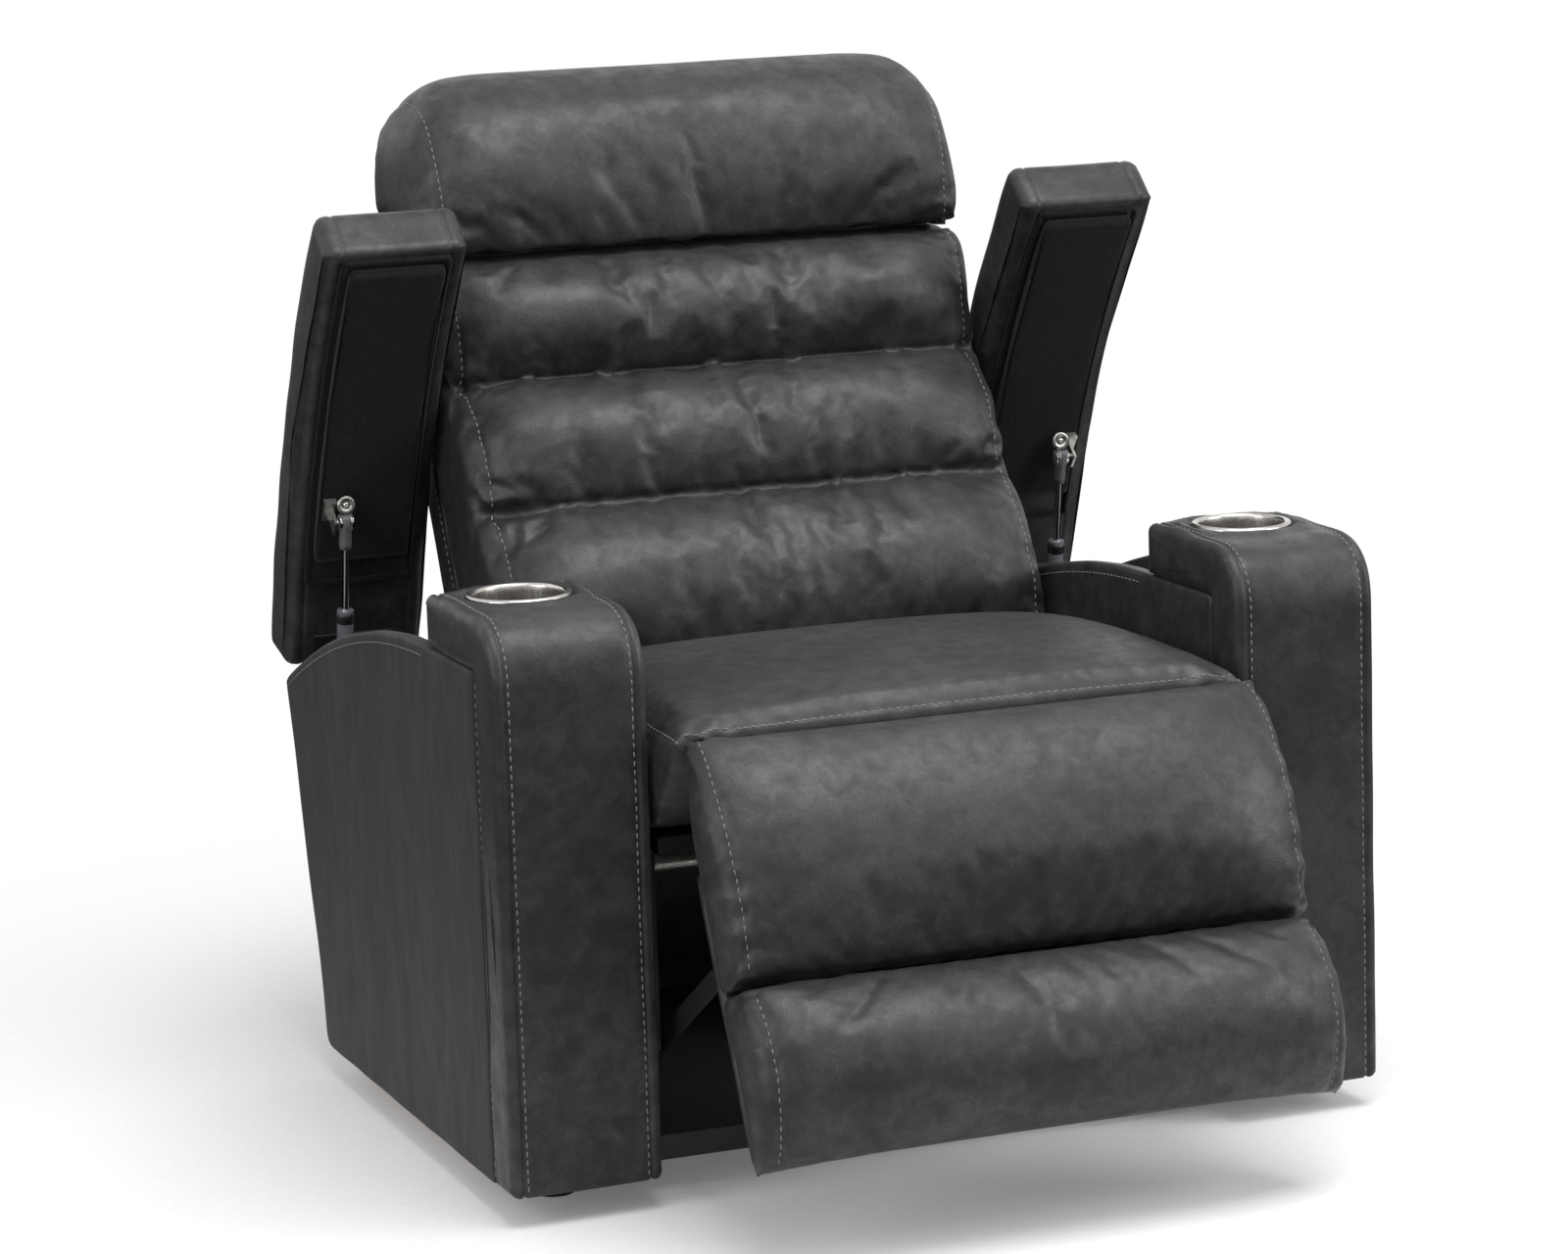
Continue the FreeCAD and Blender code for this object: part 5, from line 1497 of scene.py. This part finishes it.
@dataclass
class BackCushion:
    """The back: three channelled rolls between deep sewn creases, with leather flanks over the frame."""

    half: float = 0.304
    sole: float = 0.403
    frame_gap: float = 0.001
    creases: tuple[Pair, ...] = ((0.418, 0.452), (0.513, 0.612), (0.604, 0.735), (0.648, 0.8655))
    flank_heights: Pair = (0.352, 0.884)
    flank_span: Pair = (0.2926, 0.3030)

    def loops(self, across: Array) -> Array:
        """Work out the outline at every station: sole, rolls up the front, top and frame line.

        Args:
            across: stations.

        Returns:
            (m, n, 2) points.
        """
        fall = edge_fall(across, self.half, 0.080, 0.024)
        swell = 0.015 + 0.029 * middle_share(across, 0.20, 0.104)
        nothing = np.zeros(len(across))
        top = self.creases[-1][1]
        corners = [at(self.creases[0][0], self.sole, fall), *(at(*crease, fall + 0.004) for crease in self.creases),
                   at(back_depth(top, -self.frame_gap), top, nothing),
                   at(back_depth(self.sole, -self.frame_gap), self.sole, nothing)]
        return go_round(corners, [(swell * 0.55, 26)] + [(swell, 44)] * 3 + [(0.0, 26), (0.0, 60), (0.0, 26)])

    def rings(self) -> Array:
        """Add gathers to the rolls: folds that run away from each crease and from the side seams.

        Returns:
            The rings.
        """
        across = stations(self.half, 91)
        rings = stack_rings(across, self.loops(across), 0.007)
        total = edge_folds(rings, 0.268, 0.022, 0.0030, 0.4, 0.038, 41)
        for number, crease in enumerate((*self.creases[1:3], (0.636, 0.870))):
            total += crease_folds(rings, crease, 0.030, 0.055, 31 + number)
        front = np.clip((back_depth(rings[..., 2], -self.frame_gap) + ARM_FRONT - rings[..., 1]) / GATHER_FADE, 0, 1)
        return rings + grid_normals(rings) * (total * front)[..., None]

    def build(self) -> None:
        """Build the cushion with its creases, side seams and stitching."""
        across = np.linspace(-0.300, 0.300, 130)
        fall = edge_fall(across, self.half, 0.080, 0.024)
        creases = [stand(across, np.column_stack([depth + ARM_FRONT + fall + 0.006, np.full(130, height)]))
                   for depth, height in self.creases]
        seams = []
        for side in (-1.0, 1.0):
            line = side_line(self.loops, side * 0.2935, slice(4, 26 + 44 * 3))
            seams.append(Seam(line[line[:, 2] > 0.43], depth=0.0022))
        seams += [Seam(crease, depth=0.013, width=0.008, stitched=False) for crease in creases[1:3]]
        Upholstery("back_cushion_leather", self.rings(), "back", "back_cushion", seams, fill=0.8, cap=0.014,
                   slack=0.027, held=creases, held_width=0.010,
                   limits=((-0.3120, 0.385, 0.4025), (0.3120, 0.815, 0.8668))).build()
        for side in Side:
            self.build_flank(side)

    def build_flank(self, side: Side) -> None:
        """Close one side of the frame with a stitched leather flank that reaches the outer back.

        Args:
            side: which side.
        """
        low, high = self.flank_heights
        outline = to_loop([(back_depth(low, -0.012), low, 0.006), (back_depth(low, 0.051), low, 0.006),
                           (back_depth(high, 0.051), high, 0.012), (back_depth(high, 0.004), high, 0.006)], 5)
        flank = Slab(f"back_flank_leather_{side.word}", outline, side.span(*self.flank_span), edge=0.004,
                     puff=0.0008, seed=51).build(Finish.HIDE, "back", Slot.LEATHER)
        height = np.linspace(low + 0.02, high - 0.03, 90)
        path = stand(side.value * self.flank_span[1],
                     np.column_stack([ARM_FRONT + back_depth(height, 0.004), height]))
        sew(f"back_flank_stitching_{side.word}", flank, Seam(path), "back")


@dataclass
class Headrest:
    """The hinged headrest: one tall roll with rounded top corners."""

    half: float = 0.308

    def loops(self, across: Array) -> Array:
        """Work out the outline at every station; the top falls away in a round at both corners.

        Args:
            across: stations.

        Returns:
            (m, n, 2) points.
        """
        fall = edge_fall(across, self.half, 0.080, 0.022)
        drop = edge_fall(across, self.half + 0.001, 0.064, 0.060)
        full = middle_share(across, 0.20, 0.108)
        nothing = np.zeros(len(across))
        corners = [at(0.650, 0.8690, fall), at(0.703, 1.030, fall, -drop), at(0.842, 1.026, nothing, -drop),
                   at(0.848, 0.906, nothing), at(0.826, 0.894, nothing)]
        return go_round(corners, [(0.010 + 0.020 * full, 66, 0.7), (0.012 + 0.018 * full, 44, 0.75),
                                  (0.003, 26, 0.8), (0.0, 8), (0.0, 40)])

    def rings(self) -> Array:
        """Add gathers over the lower crease and along the side seams.

        Returns:
            The rings.
        """
        across = stations(self.half, 91)
        rings = stack_rings(across, self.loops(across), 0.013)
        total = (crease_folds(rings, (0.648, 0.866), 0.034, 0.060, 61)
                 + edge_folds(rings, 0.266, 0.024, 0.0032, -0.6, 0.042, 63))
        front = np.clip((ARM_FRONT + 0.80 - rings[..., 1]) / GATHER_FADE, 0, 1)
        return rings + grid_normals(rings) * (total * front)[..., None]

    def build(self) -> None:
        """Build the pad with its side stitching."""
        seams = [Seam(spread(side_line(self.loops, side * 0.2905, slice(3, 66 + 40)), 0.004, closed=False),
                      depth=0.0022) for side in (-1.0, 1.0)]
        across = np.linspace(-0.300, 0.300, 120)
        crease = stand(across, at(0.652, 0.872, edge_fall(across, self.half, 0.080, 0.022)))
        Upholstery("headrest_leather", self.rings(), "headrest", "headrest_pad", seams, fill=0.8, cap=0.012,
                   slack=0.022, held=[crease], held_width=0.010,
                   limits=((-0.3190, 0.600, 0.8676), (0.3190, 0.862, 1.0750))).build()


def build_rear() -> None:
    """Build the fixed leather board across the back of the base and the upholstered outer back above it."""
    cover = to_loop([(0.5922, 0.0345, 0.004), (0.6058, 0.0345, 0.004), (0.6058, 0.2555, 0.005),
                     (0.5922, 0.2555, 0.005)], 4)
    low, high = 0.3405, 0.8870
    near, far = 0.034 + 0.0003, 0.034 + 0.016
    outer = to_loop([(back_depth(low, near), low, 0.003), (back_depth(low, far), low, 0.006),
                     (back_depth(high, far), high, 0.007), (back_depth(high, near), high, 0.004)], 5)
    Slab("outer_back_leather", outer, (-0.300, 0.300), puff=0.0, seam=0.014, groove=0.0016, pitch=0.009,
         wander=0.0012, crown=0.003, seed=71).build(Finish.HIDE, "back", Slot.LEATHER, "outer_back")
    Slab("rear_cover_leather", cover, (-0.3138, 0.3138), edge=0.005, puff=0.0, seam=0.016, pitch=0.006,
         wander=0.0008, seed=91).build(Finish.HIDE, "base", Slot.LEATHER, "rear_cover")


@dataclass
class LegRest:
    """The leg rest: a covered board with an upper and a lower pad, tilted about the coupler's pivot.

    It is drawn upright, with Y and Z from the pivot, and turned to the rest pose.
    """

    half: float = 0.302
    pivot: Pair = (-0.095, 0.250)
    tilt: float = -27.0
    face: float = -0.032

    def tilted(self, points: Array) -> Array:
        """Turn places from the upright drawing to the rest pose."""
        return spin(points, self.tilt, (0.0, 0.0)) + (0.0, self.pivot[0] + ARM_FRONT, self.pivot[1])

    def pad_loops(self, across: Array, lower: bool) -> Array:
        """Outline of a pad at every station: the upper one from crease to tip, the lower from toe to crease.

        Args:
            across: stations.
            lower: whether it is the lower pad.

        Returns:
            (m, n, 2) points.
        """
        fall = edge_fall(across, self.half, 0.085, 0.020)
        full = middle_share(across, 0.17, 0.132)
        behind = self.face - 0.0005
        if lower:
            spots = [(-0.058, -0.201, 0.6), (-0.090, -0.0265, 0.8), (behind, -0.0265, 0.0), (behind, -0.201, 0.0)]
            sides = [(0.038 + 0.024 * full, 66, 0.66), (0.0, 18), (0.0, 44), (0.002, 14)]
        else:
            spots = [(-0.090, -0.0235, 0.8), (-0.066, 0.231, 0.5), (behind, 0.100, 0.0), (behind, -0.0235, 0.0)]
            sides = [(0.030 + 0.023 * full, 84, 0.66), (0.004, 40, 0.9), (0.0, 34), (0.0, 18)]
        corners = [np.stack([y + fall * share, np.full(len(fall), z)], 1) for y, z, share in spots]
        return go_round(corners, sides)

    def ruched(self, rings: Array, seed: int) -> Array:
        """Gather the side boxing and the pad's edges: folds across the seam, deepest next to it."""
        cheek = np.clip((np.abs(rings[..., 0]) - 0.298) / 0.004, 0, 1)
        total = edge_folds(rings, 0.272, 0.020, 0.0026, 0.0, 0.034, seed)
        total += 0.0040 * cheek * (folds(rings[..., 2] + 0.3 * rings[..., 1], 0.020, seed + 1) - 0.5)
        inside = np.clip((self.face - rings[..., 1]) / 0.02, 0, 1)
        return rings + grid_normals(rings) * (total * inside)[..., None]

    def build(self) -> None:
        """Build the board and both pads with their stitching."""
        front, rear, low, high = self.face - ARM_FRONT, -0.016 - ARM_FRONT, -0.185, 0.100
        outline = to_loop([(front, low, 0.004), (rear, low, 0.004), (rear, high, 0.004), (front, high, 0.004)], 4)
        board = Slab("leg_board_leather", spread(outline, 0.004), (-0.296, 0.296), edge=0.004, seed=81)
        settle(build_rings(board.name, self.tilted(board.rings()), Finish.HIDE), "leg_rest", Slot.LEATHER, "leg_board")
        across = stations(self.half, 81)
        line = np.linspace(-0.299, 0.299, 110)
        depth = -0.090 + edge_fall(line, self.half, 0.085, 0.016) + 0.002
        for word, height, seed, last in (("upper", -0.0235, 83, 82), ("lower", -0.0265, 87, 64)):
            loops = lambda places, lower=word == "lower": self.pad_loops(places, lower)
            rings = self.tilted(self.ruched(stack_rings(across, loops(across)), seed))
            paths = [self.tilted(side_line(loops, side * 0.288, slice(3, last))) for side in (-1.0, 1.0)]
            seams = [Seam(spread(path, 0.004, closed=False), depth=0.0024) for path in paths]
            crease = self.tilted(stand(line, np.column_stack([depth, np.full(110, height)])))
            Upholstery(f"leg_pad_{word}_leather", rings, "leg_rest", f"leg_pad_{word}", seams, fill=0.8, cap=0.010,
                       slack=0.018, shrink=0.002, held=[crease]).build()


# steel, plastic and board pieces that keep their CAD shape, by finish
KEPT = {
    Finish.BLACK: ("lid_hinge_fixed", "floor_rails", "seat_cross_rails", "front_cranks", "rear_cranks", "leg_couplers",
                   "leg_brackets", "back_cross_rails", "headrest_frame"),
    Finish.ZINC: ("strut_arm_studs", "torsion_tube", "drive_ram"),
    Finish.MOULDED: ("glide_feet", "drive_motor", "button_open", "button_close", "switch_plate", "power_inlet"),
    Finish.WEBBING: ("seat_webbing",),
    # the dust_cloth is a black felt sheet under the mechanism that paints the deep shade of the cavity under the seat
    Finish.FELT: ("dust_cloth",)}
# the same for nodes that end in the name of their side
KEPT_SIDED = {
    Finish.PLYWOOD: ("arm_floor",), Finish.FELT: ("storage_floor",), Finish.ENAMEL: ("strut_tube",),
    Finish.CHROME: ("strut_rod",), Finish.ZINC: ("strut_lid_bracket",),
    Finish.BLACK: ("lid_hinge_moving", "base_side_frame", "seat_side_plate", "back_side_plate")}


def dress_nodes() -> None:
    """Give the nodes that keep their shape their finish."""
    pairs = [(name, finish) for finish, names in KEPT.items() for name in names]
    pairs += [(f"{name}_{side.word}", finish) for finish, names in KEPT_SIDED.items() for name in names
              for side in Side]
    for name, finish in pairs:
        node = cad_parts[name]
        node.data.materials.clear()
        node.data.materials.append(finish.material)
        LOG.info("%s keeps its shape", name)


@dataclass
class Studio:
    """The camera at the photograph's angle, the floor and the soft lights."""

    place: Triple = (-1.850, -4.6316, 1.430)
    yaw: float = 21.16
    pitch: float = 10.54
    roll: float = -1.81
    lens: float = 112.57
    sensor: float = 36.0
    floor_half: float = 30.0
    target: Triple = (0.0, 0.0, 0.5)

    def build_camera(self) -> None:
        """Stand the camera: it looks along +Y turned by the yaw, down by the pitch, with a slight roll."""
        yaw, pitch, roll = (math.radians(value) for value in (self.yaw, self.pitch, self.roll))
        look = Vector((math.sin(yaw) * math.cos(pitch), math.cos(yaw) * math.cos(pitch), -math.sin(pitch)))
        right = Vector((math.cos(yaw), -math.sin(yaw), 0.0))
        up = right.cross(look)
        side = right * math.cos(roll) + up * math.sin(roll)
        top = up * math.cos(roll) - right * math.sin(roll)
        camera = bpy.data.cameras.new("camera")
        camera.lens = self.lens
        camera.sensor_width = self.sensor
        stand_in = bpy.data.objects.new("camera", camera)
        turn = Matrix((side, top, -look)).transposed().to_4x4()
        stand_in.matrix_world = Matrix.Translation(Vector(self.place)) @ turn
        bpy.context.scene.collection.objects.link(stand_in)
        bpy.context.scene.camera = stand_in

    def build_floor(self) -> None:
        """Lay large seamless studio paper, matt with a barely visible tooth, that still takes the shadow.

        It turns plain white away from the chair, as a lit sweep does.
        """
        size = self.floor_half
        mesh = bpy.data.meshes.new("floor")
        mesh.from_pydata([(-size, -size, 0), (size, -size, 0), (size, size, 0), (-size, size, 0)], [], [(0, 1, 2, 3)])
        floor = bpy.data.objects.new("floor", mesh)
        bpy.context.scene.collection.objects.link(floor)
        recipe = Recipe("paper_white_matt")
        tooth = recipe.noise(recipe.place, 1 / 90, 2.0)
        recipe.close({"Base Color": recipe.mix(tooth, "f4f4f4", "ffffff")},
                     {"Roughness": 0.95, "Specular IOR Level": 0.0})
        ray = add_node(recipe.tree, "ShaderNodeLightPath")
        glow = add_node(recipe.tree, "ShaderNodeEmission", {"Color": (1.0, 1.0, 1.0, 1.0)},
                        {"Strength": ray.outputs["Is Camera Ray"]})
        far = add_node(recipe.tree, "ShaderNodeVectorMath", None, {0: recipe.place}, operation="LENGTH")
        share = recipe.remap(far.outputs["Value"], 0.55, 1.7, start=0.12, kind="SMOOTHSTEP")
        both = add_node(recipe.tree, "ShaderNodeMixShader", None,
                        {0: share, 1: recipe.shader.outputs[0], 2: glow.outputs[0]})
        recipe.tree.links.new(both.outputs[0], recipe.output.inputs["Surface"])
        mesh.materials.append(recipe.material)

    def build_world(self) -> None:
        """Fill the room with even light and show white behind the object."""
        world = bpy.data.worlds.new("studio")
        bpy.context.scene.world = world
        world.use_nodes = True
        tree = world.node_tree
        tree.nodes.clear()
        ray = add_node(tree, "ShaderNodeLightPath")
        clear = add_node(tree, "ShaderNodeMath", None, {0: ray.outputs["Is Camera Ray"],
                                                        1: ray.outputs["Is Transmission Ray"]}, operation="MAXIMUM")
        seen = add_node(tree, "ShaderNodeMath", None, {0: clear.outputs[0], 1: ray.outputs["Is Glossy Ray"]},
                        operation="MAXIMUM")
        room = add_node(tree, "ShaderNodeMapRange", {"To Min": 0.55, "To Max": 1.0}, {"Value": seen.outputs[0]})
        back = add_node(tree, "ShaderNodeBackground", {"Color": (1.0, 1.0, 1.0, 1.0)}, {"Strength": room.outputs[0]})
        add_node(tree, "ShaderNodeOutputWorld", None, {"Surface": back.outputs[0]})

    def add_light(self, name: str, place: Triple, size: Pair, power: float) -> None:
        """Hang one soft box that points at the chair.

        Args:
            name: its name.
            place: where it hangs.
            size: width and height.
            power: watts.
        """
        lamp = bpy.data.lights.new(name, "AREA")
        lamp.shape = "RECTANGLE"
        lamp.size, lamp.size_y = size
        lamp.energy = power
        holder = bpy.data.objects.new(name, lamp)
        aim = (Vector(self.target) - Vector(place)).to_track_quat("-Z", "Y").to_matrix().to_4x4()
        holder.matrix_world = Matrix.Translation(Vector(place)) @ aim
        bpy.context.scene.collection.objects.link(holder)

    def build(self) -> None:
        """Set up camera, floor, world and lights."""
        bpy.context.scene.view_settings.view_transform = "Standard"
        self.build_camera()
        self.build_floor()
        self.build_world()
        self.add_light("soft_box_top", (0.3, -1.0, 3.4), (2.6, 1.8), 90.0)
        self.add_light("soft_box_right", (3.2, -2.2, 1.9), (1.6, 2.2), 60.0)
        self.add_light("soft_box_left", (-3.4, -1.2, 1.8), (1.6, 2.2), 35.0)


def main() -> None:
    logging.basicConfig(level=logging.INFO, format="%(message)s")
    Studio().build()
    for side in Side:
        Arm(side).build()
        Lid(side).build()
        Strut(side).build()
    SeatCushion().build()
    BackCushion().build()
    Headrest().build()
    build_rear()
    LegRest().build()
    dress_nodes()


if __name__ == "__main__":
    main()
